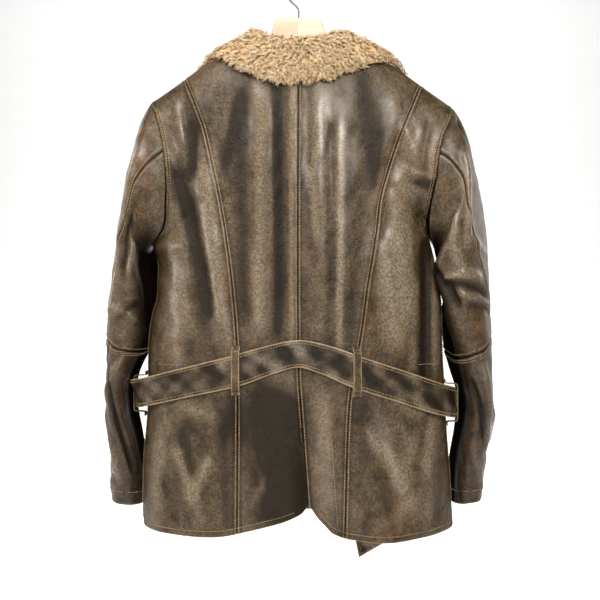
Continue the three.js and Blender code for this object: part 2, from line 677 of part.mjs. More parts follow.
// Buttons on the lapped front
BUTTONS.forEach((depth, i) => {
  const button = new THREE.CylinderGeometry(BUTTON_RADIUS, BUTTON_RADIUS, BUTTON_THICK, 20);
  button.deleteAttribute('uv');
  const seat = bodyPoint(false, BUTTON_X, depth, overlap(BUTTON_X) + SEAT + 0.4 + BUTTON_THICK / 2);
  const normal = bodyNormal(false, BUTTON_X, depth);
  const turn = new THREE.Quaternion().setFromUnitVectors(new THREE.Vector3(0, 1, 0), normal);
  button.applyQuaternion(turn).translate(seat.x, seat.y, seat.z);
  add(`button_${i + 1}`, button, horn);
});

// The hanger's two halves: a raised neck block and an arm that follows the shoulder from within
function woodHalf(sign) {
  const xs = [0.15, 33, 35, 41, 48, 60, 75, 90, 104, 125, 150, 178, ARM_END - 4, ARM_END];
  return loft(xs.map((x) => {
    const depth = x <= 90 ? smooth(WOOD_TOP, x) : shoulder(x) + LEATHER * 1.3 + 0.9;
    const trim = x === ARM_END ? 0.7 : 1;
    const half = smooth(WOOD_HALF_DEPTH, x) * trim;
    const height = smooth(WOOD_HEIGHT, x) * trim;
    const round = x > 75 ? ramp(75, 110, x) : 0;
    const section = [];
    for (let i = 0; i <= 6; i += 1) {
      const a = (Math.PI * i) / 6;
      const crown = Math.min(half, 7 + 12 * round);
      section.push(new THREE.Vector3(sign * x, half * Math.cos(a), -depth - crown * (1 - Math.sin(a))));
    }
    section.push(new THREE.Vector3(sign * x, -half * 0.9, -depth - height + 4));
    section.push(new THREE.Vector3(sign * x, -half * 0.5, -depth - height));
    section.push(new THREE.Vector3(sign * x, half * 0.5, -depth - height));
    section.push(new THREE.Vector3(sign * x, half * 0.9, -depth - height + 4));
    return section;
  }));
}
add('hanger_left', woodHalf(1), wood);
add('hanger_right', woodHalf(-1), wood);

// The hook: a bent wire that stands on the wood and whose inside top is the origin
const hookPoints = [[0, -62 + SEAT], [0, -56], [0, -50], [3.5, -43.5], [10.5, -37.5]].map(([x, z]) =>
  new THREE.Vector3(x, 0, z));
for (let degrees = -35; degrees <= 205; degrees += 20) {
  const a = THREE.MathUtils.degToRad(degrees);
  const r = HOOK_RADIUS + WIRE;
  hookPoints.push(new THREE.Vector3(r * Math.cos(a), 0, r * Math.sin(a) - HOOK_RADIUS));
}
const wire = new THREE.CatmullRomCurve3(hookPoints, false, 'centripetal');
const ring = (t) => {
  const at = wire.getPoint(t);
  const along = wire.getTangent(t);
  const flat = new THREE.Vector3(along.z, 0, -along.x);
  return Array.from({ length: 8 }, (_, i) => {
    const a = (2 * Math.PI * i) / 8;
    const aside = new THREE.Vector3(0, WIRE * Math.sin(a), 0);
    return at.clone().addScaledVector(flat, WIRE * Math.cos(a)).add(aside);
  });
};
add('hook', loft(Array.from({ length: 28 }, (_, i) => ring(i / 27))), steel);

export default coat;
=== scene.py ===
"""Worn leather coat with a fur collar and a loose belt, hung on a wooden hanger.

The sizes and tables are millimetres in the part's frame: +Z up, the coat's back towards +Y, the
origin at the inside top of the hook. Depth is millimetres below the hook.
"""

import math

import bpy
import numpy as np
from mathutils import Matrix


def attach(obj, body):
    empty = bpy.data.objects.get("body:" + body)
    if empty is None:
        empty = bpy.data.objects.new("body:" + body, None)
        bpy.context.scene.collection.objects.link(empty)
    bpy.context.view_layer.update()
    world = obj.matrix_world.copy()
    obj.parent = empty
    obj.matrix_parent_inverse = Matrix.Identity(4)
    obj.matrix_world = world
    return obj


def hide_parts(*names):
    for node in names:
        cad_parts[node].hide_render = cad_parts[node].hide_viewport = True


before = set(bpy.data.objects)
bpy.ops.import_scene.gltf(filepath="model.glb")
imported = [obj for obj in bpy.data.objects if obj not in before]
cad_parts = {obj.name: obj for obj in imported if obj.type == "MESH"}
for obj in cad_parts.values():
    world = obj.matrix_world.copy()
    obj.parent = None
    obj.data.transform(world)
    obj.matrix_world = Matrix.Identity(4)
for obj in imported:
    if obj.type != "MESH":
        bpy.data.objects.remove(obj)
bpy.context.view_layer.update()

bl_info = {
    "name": "Worn Leather Coat",
    "version": (1, 0, 0),
    "blender": (4, 5, 0),
    "location": "3D View > Sidebar > Coat",
    "description": "Builds a worn leather coat with a fur collar on a wooden hanger",
    "category": "Add Mesh",
}

MM = 0.001
BODY = "root"
UP = np.array([0, 0, 1.0])

# Half of the gap left at a seam of the back, which is narrower here than in the solids
CLOSED = 0.02

# Cut and seams, as the solids have them
HALF_SEAM = 0.18
SEAT = 0.35
SLEEVE_SEAT = 0.3
COLLAR_SEAT = 1.1
LAPEL_SEAT = 1.9
LAP_LIFT = 5.6
BELT_LEATHER = 2.6
NECK_HALF = 75
HEM = 846
FRONT_HEM = 842
BREAK = 335
LAP_HALF = 32
FRONT_PAST_MIDDLE = LAP_HALF - 2.0
SEAM_SHARES = (0, 0.004, 0.009, 0.016, 0.026, 0.04, 0.058)
HEM_SHARES = (0, 0.0008, 0.002, 0.004, 0.007)
BACK_ROWS = 180
FRONT_ROWS = 150
SLEEVE_ROWS = 96
LOWER_ROWS = 62
ARMHOLE_DEPTH = 52
VENT_TOP = 706
VENT_UNDERLAP = 34
SHOULDER = [[0, 92], [60, 95], [75, 99], [98, 108], [131, 125], [148, 136], [176, 157.5], [205, 178],
            [228, 194.5], [238, 203]]
BACK_NECK = [[0, 118], [20, 117], [40, 113], [60, 105], [75, 99]]
FRONT_NECK = [[0, BREAK], [12, 318], [35, 255], [58, 165], [70, 116], [75, 99]]
# How far the middle stands out, by the square root of the drop below the shoulder
BACK_BULGE = [[0, 0], [2, 13], [4, 22.5], [6, 31], [9, 45], [12, 57], [16, 70], [20, 79], [24, 85],
              [28, 90]]
FRONT_BULGE = [[0, 0], [2, 13], [4, 22.5], [6, 30], [9, 43], [12, 55], [16, 69], [20, 80], [24, 87],
               [28, 92]]

# The side edge and the princess seam of each side, as depth and x
LEFT = {
    "name": "left", "sign": 1, "tip": 194.5, "armpit": 416,
    "edge": [[194, 228], [222, 215.5], [249, 207.6], [272, 203], [300, 200], [325, 199], [355, 200.7],
             [378, 203], [392, 208], [404, 217], [416, 226], [430, 221], [446, 217], [474, 218], [495, 219],
             [517, 225], [540, 229.5], [577, 232.5], [664, 233.5], [733, 239], [788, 240.5], [828, 240.5],
             [846, 238]],
    "princess": [[157, 176], [188, 162.5], [215, 151.4], [242, 141.6], [275, 133.4], [333, 120.5],
                 [409, 106.7], [479, 97.5], [575, 90], [846, 89.5]],
}
RIGHT = {
    "name": "right", "sign": -1, "tip": 203, "armpit": 405,
    "edge": [[203, 238], [227, 230], [246, 220.7], [271, 213.5], [290, 210], [318, 206.6], [341, 202],
             [360, 199], [382, 198.3], [405, 203], [425, 208], [450, 213], [480, 218], [500, 221],
             [540, 222], [590, 223.5], [622, 225.5], [686, 228.5], [750, 233], [795, 235.6],
             [824, 237.5], [846, 239]],
    "princess": [[165, 189.4], [186, 180], [214, 168.3], [244.5, 155], [279, 142.2], [319, 129.7],
                 [356, 120.7], [397, 116], [432, 110], [479, 102], [551, 91.7], [631, 77], [688, 72.3],
                 [846, 68]],
}
SIDES = (LEFT, RIGHT)
CENTRE_SEAM = [[100, 0], [590, 0], [700, -7], [846, -17.5]]
BACK_HEM = [[-242, 844], [-190, 850], [-130, 855], [-75, 848], [-50, 839], [-42, 831], [-28, 815],
            [-18, 800], [-6, 811], [22, 823], [52, 831], [85, 839], [115, 845], [160, 847], [242, 844]]

# Folds: x and depth of both ends, height (below zero for a trough) and half width. Then the finer ones
BACK_FOLDS = [
    [44, 200, 40, 520, 3.2, 13], [22, 190, 20, 500, -3.4, 10], [-30, 190, -38, 540, 2.8, 12],
    [-62, 250, -58, 520, 2.2, 12], [178, 300, 132, 505, -6, 14], [150, 330, 112, 540, 4.5, 13],
    [160, 235, 158, 300, -3.5, 10], [-176, 300, -196, 318, -4, 11], [-150, 330, -168, 520, 4, 16],
    [-194, 420, -190, 610, -9, 9], [-208, 430, -207, 600, 3, 9], [196, 440, 176, 600, 3.5, 14],
    [190, 690, 150, 775, -3.5, 13], [104, 680, 150, 775, -3, 12], [-120, 670, -168, 800, 4, 16],
    [-205, 690, -196, 840, 3.5, 14], [206, 700, 214, 840, 3.5, 13],
]
FRONT_FOLDS = [
    [120, 300, 100, 560, 4, 16], [160, 330, 140, 560, -4, 14], [-116, 300, -98, 560, 4, 16],
    [-160, 330, -142, 560, -4, 14], [60, 620, 78, 830, 3, 18], [-64, 620, -84, 830, 3, 18],
    [170, 640, 186, 830, -3.5, 16], [-168, 640, -184, 830, -3.5, 16],
]
BACK_CREASES = [
    [10, 170, 8, 540, 1.2, 4], [66, 210, 70, 420, -1.4, 8], [84, 240, 66, 520, 1.2, 8],
    [-14, 180, -16, 420, -1.4, 6], [-48, 230, -50, 500, -1.6, 7], [-84, 260, -72, 480, 1.4, 9],
    [-100, 300, -84, 520, -1.4, 8], [186, 200, 172, 262, 1.8, 6], [172, 205, 166, 250, -1.8, 5],
    [190, 262, 168, 320, 2.0, 6], [140, 300, 122, 420, 1.8, 7], [186, 350, 158, 470, 2.2, 8],
    [206, 430, 184, 520, -2.2, 6], [200, 470, 172, 560, 2.0, 7], [158, 480, 120, 590, -2.0, 8],
    [128, 470, 100, 560, 1.8, 6], [186, 530, 150, 600, -1.8, 7], [-160, 240, -182, 300, 1.8, 7],
    [-170, 330, -200, 344, 2.2, 5], [-140, 280, -128, 400, -1.6, 8], [-182, 350, -176, 470, -2.2, 7],
    [-130, 420, -150, 560, 2.0, 9], [-112, 450, -118, 580, -1.6, 7], [-176, 500, -160, 600, -1.8, 7],
    [-160, 200, -148, 260, -1.4, 8], [-196, 230, -186, 290, -1.6, 6], [212, 640, 188, 700, 2.0, 6],
    [176, 660, 132, 720, -1.8, 6], [186, 720, 156, 770, 2.2, 6], [116, 700, 146, 760, 1.8, 6],
    [150, 775, 146, 830, 1.6, 8], [62, 640, 40, 760, -1.6, 9], [30, 660, 58, 800, 1.4, 9],
    [70, 720, 36, 800, 1.4, 6], [-40, 640, -52, 800, 1.4, 8], [-100, 650, -140, 760, -2.0, 7],
    [-150, 680, -184, 740, 2.0, 7], [-196, 660, -168, 740, -1.8, 8], [-118, 740, -150, 830, 1.8, 7],
    [-90, 760, -110, 840, -1.6, 6], [206, 760, 178, 820, -1.6, 7],
]
FRONT_CREASES = [
    [186, 250, 150, 330, 1.8, 7], [-186, 250, -150, 330, 1.8, 7], [190, 430, 150, 540, -2.0, 8],
    [-190, 430, -150, 540, -2.0, 8], [80, 380, 70, 560, 1.4, 10], [-84, 380, -74, 560, 1.4, 10],
    [130, 660, 168, 760, 1.8, 8], [-130, 660, -168, 760, 1.8, 8], [30, 660, 44, 820, -1.4, 9],
]

# How far a crease fades at its ends, the heights at which the painted highlight on a crest and the
# painted shade in a trough are full, and the pitch at which the thread gathers a seam
CREASE_FADE = 18
FOLD_TONE = 3.4
CREASE_TONE = 2.2
PUCKER = 11

# Painted highlights (above zero) and painted shade (below zero) on the back: x and depth of both ends,
# how much, and half width
BACK_PAINTED_LIGHT = [
    [62, 170, 58, 540, 0.9, 9], [34, 160, 30, 545, -1.3, 9], [10, 165, 9, 560, 0.7, 6],
    [-32, 165, -34, 300, 0.6, 13], [-42, 225, -18, 315, 0.9, 5], [-18, 315, -26, 400, 0.9, 6],
    [-34, 290, -48, 245, -0.7, 6], [-64, 240, -60, 560, 1.1, 5], [-78, 240, -74, 540, -0.6, 9],
    [-96, 160, -112, 300, -0.8, 17], [-46, 400, -44, 560, -0.5, 9], [88, 200, 110, 300, -1.1, 10],
    [84, 180, 80, 520, -0.8, 12], [158, 235, 157, 305, -1.3, 8], [180, 300, 128, 520, -1.5, 10],
    [190, 283, 166, 330, 1.0, 5], [146, 270, 120, 515, 0.8, 11], [126, 275, 124, 330, 0.9, 7],
    [176, 215, 172, 300, 0.4, 10], [196, 380, 164, 540, 0.6, 13], [-200, 270, -198, 312, 0.9, 5],
    [-160, 300, -198, 313, 1.0, 4], [-174, 322, -204, 326, -1.3, 6], [-140, 200, -155, 240, 0.6, 13],
    [-172, 225, -180, 275, 0.6, 9], [-150, 400, -140, 560, 0.7, 24], [-172, 470, -168, 600, 0.6, 12],
    [-192, 420, -190, 620, -1.6, 9], [-206, 430, -206, 600, 0.8, 7], [180, 716, 157, 787, 1.3, 9],
    [157, 787, 133, 735, 1.2, 9], [168, 690, 160, 760, -0.7, 9], [175, 655, 120, 668, 0.8, 11],
    [210, 660, 214, 800, 0.4, 8], [112, 660, 104, 820, -0.6, 10], [33, 728, 60, 782, 0.7, 6],
    [60, 625, 20, 645, -0.9, 18], [44, 650, 30, 815, -1.6, 32], [4, 650, 0, 800, -1.0, 12],
    [-150, 280, -140, 480, 0.5, 30], [-120, 250, -110, 330, -0.8, 9], [96, 640, 88, 700, -0.8, 12],
    [-34, 640, -36, 800, 0.5, 12], [-106, 694, -151, 768, 1.3, 10], [-151, 768, -176, 700, 1.0, 9],
    [-198, 686, -190, 755, 0.9, 7], [-150, 648, -192, 668, 0.9, 12], [-120, 740, -136, 820, -0.8, 10],
    [-92, 650, -98, 740, -0.5, 8], [-212, 740, -206, 836, -0.6, 8], [-170, 790, -120, 830, 0.5, 10],
]

# Sleeves, ring by ring: outer x, outer depth, inner x, inner depth, half depth in y, middle y, lean in
SLEEVES = {
    "left": [
        [230, 195, 228, 415, 54, 0, 0], [243, 222, 234, 425, 62, -3, 0],
        [253.5, 264, 240, 440, 70, -6, 0], [267, 322, 240, 462, 75, -10, 0],
        [279.5, 392, 235, 497, 77, -14, 0.02], [291, 470, 235, 542, 75, -20, 0.02],
        [298, 555, 240, 578, 70, -27, 0.02], [299, 650, 262, 640, 66, -36, 0],
        [298, 742, 244, 750, 58, -46, 0], [297, 815, 243, 819, 50, -54, 0],
    ],
    "right": [
        [239, 203, 206, 404, 52, 0, 0], [256, 232, 216, 416, 60, -3, 0.03],
        [269, 268, 224, 430, 68, -6, 0.1], [281, 322, 227, 452, 74, -8, 0.2],
        [291, 388, 227, 480, 77, -11, 0.26],
        [299, 470, 231, 520, 75, -17, 0.2], [302, 555, 241, 588, 70, -25, 0.06],
        [304, 650, 256, 662, 64, -35, 0], [298, 742, 243, 750, 56, -46, 0],
        [291, 812, 242, 819, 50, -54, 0],
    ],
}
# Where a sleeve sags in towards the body: place along it, angle, how far, and the half widths of both.
# The first two of each side are the solids' own, and the later ones are finer and only here
SAGS = {
    "left": [[0.38, 225, 20, 0.19, 38], [0.58, 222, 13, 0.1, 28], [0.58, 268, 7, 0.04, 50]],
    "right": [[0.42, 325, 14, 0.1, 35], [0.6, 222, 16, 0.14, 32], [0.33, 290, 12, 0.08, 48],
              [0.2, 285, 9, 0.08, 45], [0.575, 268, 7, 0.045, 50]],
}

# The elbow seam and the two long seams: places along the sleeve, and degrees round it from the back
ELBOW = 0.655
ELBOW_DIP = 0.022
BACK_SEAM_ANGLE = {"left": [[0, 16], [0.3, 10], [0.45, 30], [0.6, 62], [0.7, 74]],
                   "right": [[0, 14], [0.3, 20], [0.45, 38], [0.6, 66], [0.7, 76]]}
FRONT_SEAM_ANGLE = 205
INSIDE_ANGLE = 256
SLEEVE_LENGTH = 630
SLEEVE_ROUND = 66

# Sleeve creases: place along and angle of both ends, height and half width in millimetres
SLEEVE_CREASES = {
    "left": [
        [0.14, 30, 0.50, 25, 2.6, 9], [0.20, 60, 0.56, 55, -2.2, 8], [0.22, -20, 0.48, 14, -3.4, 9],
        [0.30, -30, 0.46, -5, 3.0, 8], [0.42, 10, 0.62, 40, 2.2, 8], [0.50, -40, 0.60, 10, -2.6, 7],
        [0.56, -30, 0.60, 40, 2.0, 6], [0.70, -10, 0.78, 50, 2.4, 9], [0.74, 30, 0.90, -30, -4.2, 10],
        [0.80, 60, 0.93, 10, 3.0, 9], [0.68, 40, 0.74, 80, -2.0, 7], [0.90, 20, 0.97, 60, 2.0, 7],
        [0.30, 190, 0.60, 210, 2.4, 12], [0.50, 120, 0.62, 170, -2.4, 10], [0.72, 130, 0.88, 180, 2.2, 10],
    ],
    "right": [
        [0.16, 34, 0.44, 20, 2.8, 9], [0.10, 60, 0.30, 80, -2.8, 9], [0.26, -10, 0.50, 6, 2.6, 9],
        [0.40, -46, 0.56, -14, -5.0, 8], [0.47, -30, 0.53, 36, 3.4, 6], [0.50, -20, 0.58, 50, -3.0, 6],
        [0.54, -10, 0.60, 56, 2.6, 5], [0.58, 10, 0.62, 70, -2.2, 5], [0.44, 30, 0.50, 72, 2.0, 6],
        [0.70, 10, 0.86, 40, 2.6, 10], [0.74, -30, 0.84, 20, -3.4, 9], [0.80, 64, 0.87, 96, 4.2, 9],
        [0.87, 60, 0.91, 98, -4.0, 8], [0.88, 0, 0.96, 40, 2.0, 8], [0.30, 190, 0.60, 210, 2.4, 12],
        [0.50, 120, 0.62, 170, -2.4, 10],
    ],
}

# The collar by its share of the way: x and depth at the neck, then at the fallen edge
COLLAR_BACK = {
    "left": [[0, 0, 117, 0, 181], [0.2, 20, 116.5, 30, 182], [0.4, 38, 113, 57, 172],
             [0.6, 54, 107.5, 82, 161], [0.75, 64, 103, 104, 151], [0.87, 70, 100.6, 124, 138],
             [0.95, 73, 99.2, 140, 134.5], [1, 74.5, 98.7, 148, 136]],
    "right": [[0, 0, 117, 0, 181], [0.2, 20, 116.5, 29, 179], [0.4, 38, 113, 58, 172],
              [0.6, 54, 107.5, 92, 156], [0.75, 64, 103, 122, 148], [0.87, 70, 100.6, 144, 143],
              [0.95, 73, 99.2, 156, 143.5], [1, 74.5, 98.7, 164, 148]],
}
COLLAR_FRONT = {
    "left": [[0, 74.5, 98.7, 148, 136], [0.06, 74, 100, 160, 148], [0.16, 72, 108, 172, 166],
             [0.36, 64, 140, 170, 205], [0.6, 49, 205, 142, 262], [0.8, 36, 255, 105, 305],
             [1, 24, 300, 62, 334]],
    "right": [[0, 74.5, 98.7, 164, 148], [0.06, 74, 100, 174, 157], [0.16, 72, 108, 182, 172],
              [0.36, 64, 140, 178, 208], [0.6, 49, 205, 146, 264], [0.8, 36, 255, 105, 305],
              [1, 24, 300, 62, 334]],
}
# How deep the fur is, how high the collar rolls, the backing's share of the fur's depth, and how
# many strands make a lock
FUR = {"left": 13, "right": 17}
ROLL = 22
BACKING = 0.5
LOCK = 9

# The belt's way round the coat: x, y, depth and width
BELT_ROUTE = [
    [110, -106, 640, 46], [168, -97, 643, 46], [213, -76, 645, 46], [234, -48, 644, 45],
    [246, -20, 643, 44], [251, 12, 642, 43], [228, 44, 636, 43], [166, 71, 620, 44], [92, 84, 602, 46],
    [42, 86.2, 586, 42], [0, 86.5, 577, 40], [-40, 86.2, 586, 43], [-86, 84, 604, 47],
    [-152, 72.5, 626, 47], [-206, 52, 645, 47], [-234, 26, 654, 46], [-243, -2, 657, 46],
    [-233, -40, 656, 46], [-206, -76, 654, 46], [-160, -98, 651, 46], [-110, -105, 649, 46],
]
BELT_WIDTH = 44.0
BELT_FINE = 3
BELT_FOLD_RADIUS = 7
FOLD_AHEAD = 26
BELT_ENDS = {
    "left": {"sign": 1, "length": 190, "lean": 6, "slant": -16},
    "right": {"sign": -1, "length": 288, "lean": 11, "slant": -19},
}
LOOP_WIDTH = 12
LOOP_LEATHER = 1.5
LOOP_EASE = 1.1
LOOPS = {"back_left": (0.4, False), "back_right": (0.6, False), "side_left": (0.225, True),
         "side_right": (0.8, True)}
BUTTONS = (392, 486, 580)
BUTTON_X = 12.0
BUTTON_RADIUS = 14
BUTTON_THICK = 4
BUTTON_STAND = 1.3
BUTTON_RIM = 2.6
HOLE_RADIUS = 1.1
HOLE_OUT = 2.6

# Lines of topstitching, as places along the sleeve, or x or depth in millimetres
ELBOW_STITCHES = (-0.0075, 0.0065, 0.0115)
CUFF_STITCHES = 0.965
SEAM_STITCHES = 2.6
TAPE_DEPTH = 598
FRONT_EDGE_STITCHES = (23, 17)

# Where the camera stands, and how wide it sees
CAMERA = (-2.3, 1450, -498.5)
PLANE_WIDTH = 930
SENSOR = 36
FLOOR = -1300

# Metres, for the paper floor that bends up into a backdrop
FLOOR_SIZE = 16
WALL_HEIGHT = 8
BEND = 3.5
BEND_STEPS = 24

# Each light: name, place in metres, size in metres and power in watts
WARM = (1.0, 0.955, 0.885)
LIGHTS = (
    ("key", (-0.5, 2.2, 1.0), 0.7, 76), ("top", (0.4, 0.8, 1.4), 0.8, 34),
    ("side", (2.2, 1.1, 0.0), 0.8, 26), ("low", (0.2, 2.0, -1.15), 0.8, 9),
    ("front", (2.3, -1.8, 0.4), 1.6, 34), ("other_front", (-2.4, -1.5, 0.2), 1.6, 20),
    ("wall", (0.0, -2.2, 2.2), 3.0, 330),
)


def smooth(table, key, column=1):
    """A smooth curve through rows of [key, value, ...] with rising keys."""
    rows = np.asarray(table, float)
    keys, values = rows[:, 0], rows[:, column]
    slopes = np.gradient(values, keys, edge_order=1)
    slopes[1:-1] = (values[2:] - values[:-2]) / (keys[2:] - keys[:-2])
    at = np.clip(key, keys[0], keys[-1])
    i = np.clip(np.searchsorted(keys, at, side="left") - 1, 0, len(keys) - 2)
    span = keys[i + 1] - keys[i]
    t = (at - keys[i]) / span
    t2, t3 = t * t, t * t * t
    return (values[i] * (2 * t3 - 3 * t2 + 1) + values[i + 1] * (3 * t2 - 2 * t3)
            + span * (slopes[i] * (t3 - 2 * t2 + t) + slopes[i + 1] * (t3 - t2)))


def ramp(start, end, value):
    """A soft step from 0 at the start to 1 at the end."""
    t = np.clip((value - start) / (end - start), 0, 1)
    return t * t * (3 - 2 * t)


def unit(vectors):
    return vectors / np.maximum(np.linalg.norm(vectors, axis=-1, keepdims=True), 1e-9)


def points(x, y, z):
    return np.stack(np.broadcast_arrays(np.asarray(x, float), y, z), axis=-1)


def folds(lines, x, depth, fade=40):
    """Height of soft ridges and troughs, each along a line."""
    height = np.zeros(np.broadcast(x, depth).shape)
    for x1, d1, x2, d2, rise, half in lines:
        length = math.hypot(x2 - x1, d2 - d1)
        along = ((x - x1) * (x2 - x1) + (depth - d1) * (d2 - d1)) / length
        across = ((x - x1) * (d2 - d1) - (depth - d1) * (x2 - x1)) / length
        ends = ramp(-fade, fade / 2, along) * ramp(length + fade, length - fade / 2, along)
        height += rise * ends * hill(across, half)
    return height


def ripple(place, size, seed, waves=9):
    """Gentle uneven waves over points, about one high, of a size in millimetres."""
    rng = np.random.default_rng(seed)
    total = np.zeros(place.shape[:-1])
    for _ in range(waves):
        way = unit(rng.normal(size=3))
        pitch = size * rng.uniform(0.6, 1.7)
        total += np.sin(place @ way * (2 * math.pi / pitch) + rng.uniform(0, 6.3))
    return total / math.sqrt(waves)


def hill(value, half, middle=0.0, power=2):
    """1 at the middle, falling off smoothly over the half width."""
    return np.exp(-((value - middle) / half) ** power)


def level(value):
    """A line that has the same value everywhere."""
    return lambda at: np.full(np.shape(at), float(value))


def run_length(path):
    """How far along a path each of its points lies."""
    return np.concatenate([[0], np.cumsum(np.linalg.norm(np.diff(path, axis=0), axis=1))])


def walk(path, run, at):
    """The places of a path at given distances along it."""
    return np.stack([np.interp(at, run, path[:, k]) for k in range(path.shape[1])], -1)


def soften(rows):
    """Draws each row but the first and last halfway to the mean of its neighbours."""
    rows[1:-1] = 0.5 * rows[1:-1] + 0.25 * (rows[2:] + rows[:-2])


def shoulder(x):
    return smooth(SHOULDER, np.abs(x))


def side_line(side, name):
    """The x of a side's edge or princess seam at a depth."""
    return lambda depth: side["sign"] * smooth(side[name], depth)


def by_side(x, pick):
    return np.where(np.asarray(x) >= 0, pick(LEFT), pick(RIGHT))


def body_depth(back, x, depth, fine=True):
    """How far the leather stands from the plane of the side seams."""
    x, depth = np.broadcast_arrays(np.asarray(x, float), np.asarray(depth, float))
    drop = np.maximum(depth - shoulder(x), 0)
    middle = smooth(BACK_BULGE if back else FRONT_BULGE, np.sqrt(drop))
    half = by_side(x, lambda s: (s["armpit"] - s["tip"]) / 2)
    down = (drop - half) / half
    share = np.clip(np.abs(x) / by_side(x, lambda s: smooth(s["edge"], depth)), 0, 1)
    within = np.maximum(1 - down * down, 0)
    edge = ARMHOLE_DEPTH * within ** 1.5 / (within + 0.3 * (1 - share) + 1e-9)
    power = 1 - 0.5 * ramp(0.35, 1.1, (down + 1) / 2)
    across = np.power(1 - share ** 3, power)
    calm = ramp(1, 0.86, share) * ramp(6, 60, drop)
    height = folds(BACK_FOLDS if back else FRONT_FOLDS, x, depth)
    if fine:
        height = height + folds(BACK_CREASES if back else FRONT_CREASES, x, depth, CREASE_FADE)
        place = points(x, 0.0, depth * 0.6)
        height = height + 0.7 * ripple(place, 70, 11 + back) + 0.3 * ripple(place, 24, 21 + back)
    return edge + (middle - edge) * across + calm * height


def body_normal(back, x, depth, fine=True):
    step = 1.5
    sign = 1 if back else -1
    inside = np.where(np.asarray(x) < 0, -step, step)
    here = body_depth(back, x, depth, fine)
    dx = (here - body_depth(back, x - inside, depth, fine)) / inside
    dz = -(body_depth(back, x, depth + step, fine) - here) / step
    return unit(points(-dx, float(sign), -dz))


def body_point(back, x, depth, lift=0, fine=True):
    sign = 1 if back else -1
    place = points(x, sign * (HALF_SEAM + body_depth(back, x, depth, fine)), -np.asarray(depth, float))
    return place + np.asarray(lift, float)[..., None] * body_normal(back, x, depth, fine)


def lay_mesh(name, verts, faces, materials, index=None, values=None):
    """A mesh object from millimetre points, its faces turned outwards, at the origin."""
    verts = np.asarray(verts, float) * MM
    faces = np.asarray(faces)
    a, b, c = (verts[faces[:, k]] for k in (0, 1, 2))
    volume = np.einsum("ij,ij->i", a, np.cross(b, c)).sum()
    if faces.shape[1] == 4:
        d = verts[faces[:, 3]]
        volume += np.einsum("ij,ij->i", a, np.cross(c, d)).sum()
    if volume < 0:
        faces = faces[:, ::-1]
    mesh = bpy.data.meshes.new(name)
    mesh.vertices.add(len(verts))
    mesh.vertices.foreach_set("co", verts.ravel())
    sides = faces.shape[1]
    mesh.loops.add(faces.size)
    mesh.loops.foreach_set("vertex_index", faces.ravel().astype(np.int32))
    mesh.polygons.add(len(faces))
    mesh.polygons.foreach_set("loop_start", np.arange(0, faces.size, sides, dtype=np.int32))
    if index is not None:
        mesh.polygons.foreach_set("material_index", index.astype(np.int32))
    for key, value in (values or {}).items():
        layer = mesh.attributes.new(key, "FLOAT", "POINT")
        layer.data.foreach_set("value", np.asarray(value, np.float32).ravel())
    mesh.update(calc_edges=True)
    if mesh.validate():
        raise RuntimeError(name + " has faces that can't be made")
    for material in materials:
        mesh.materials.append(material)
    piece = bpy.data.objects.new(name, mesh)
    bpy.context.collection.objects.link(piece)
    return piece


def wall_faces(rows, columns, closed):
    """Faces of a wall whose outer grid comes first and whose inner grid follows."""
    shift = rows * columns
    spans = columns if closed else columns - 1
    r, c = np.meshgrid(np.arange(rows - 1), np.arange(spans), indexing="ij")
    at = lambda r, c: r * columns + c % columns
    outer = np.stack([at(r, c), at(r, c + 1), at(r + 1, c + 1), at(r + 1, c)], -1).reshape(-1, 4)
    inner = np.stack([at(r, c), at(r + 1, c), at(r + 1, c + 1), at(r, c + 1)], -1).reshape(-1, 4) + shift
    k = np.arange(spans)
    top = np.stack([at(0, k + 1), at(0, k), at(0, k) + shift, at(0, k + 1) + shift], -1)
    end = rows - 1
    low = np.stack([at(end, k), at(end, k + 1), at(end, k + 1) + shift, at(end, k) + shift], -1)
    rims = [top, low]
    if not closed:
        k = np.arange(rows - 1)
        end = columns - 1
        rims.append(np.stack([at(k, 0), at(k + 1, 0), at(k + 1, 0) + shift, at(k, 0) + shift], -1))
        rims.append(np.stack([at(k + 1, end), at(k, end), at(k, end) + shift, at(k + 1, end) + shift], -1))
    index = np.concatenate([np.zeros(len(outer)), np.ones(len(inner)), np.zeros(sum(map(len, rims)))])
    return np.concatenate([outer, inner, *rims]), index


def lay_wall(node, outer, inner, worn, painted_light_and_tone, finishes, slot, closed=False):
    """One cut piece of leather: its wall and its worn places."""
    rows, columns = outer.shape[:2]
    faces, index = wall_faces(rows, columns, closed)
    verts = np.concatenate([outer.reshape(-1, 3), inner.reshape(-1, 3)])
    values = {"worn": np.concatenate([worn.ravel(), worn.ravel() * 0.5]),
              "painted_light_and_tone": np.concatenate([painted_light_and_tone.ravel(), painted_light_and_tone.ravel() * 0])}
    piece = lay_mesh("leather_" + node, verts, faces, [finish_named(name) for name in finishes], index,
                     values)
    finish_piece(piece, slot, node)
    size_sheet(outer, closed)


def finish_piece(piece, slot, *nodes, angle=38):
    bpy.ops.object.select_all(action="DESELECT")
    piece.select_set(True)
    bpy.context.view_layer.objects.active = piece
    bpy.ops.object.shade_smooth_by_angle(angle=math.radians(angle))
    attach(piece, BODY)
    if nodes:
        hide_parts(*nodes)


def size_sheet(outer, closed=False):
    loop = np.concatenate([outer, outer[:, :1]], axis=1) if closed else outer
    across = np.linalg.norm(np.diff(loop, axis=1), axis=-1)
    down = np.linalg.norm(np.diff(loop, axis=0), axis=-1)
    sideways = loop[:-1, 1:] - loop[:-1, :-1]
    downwards = loop[1:, :-1] - loop[:-1, :-1]


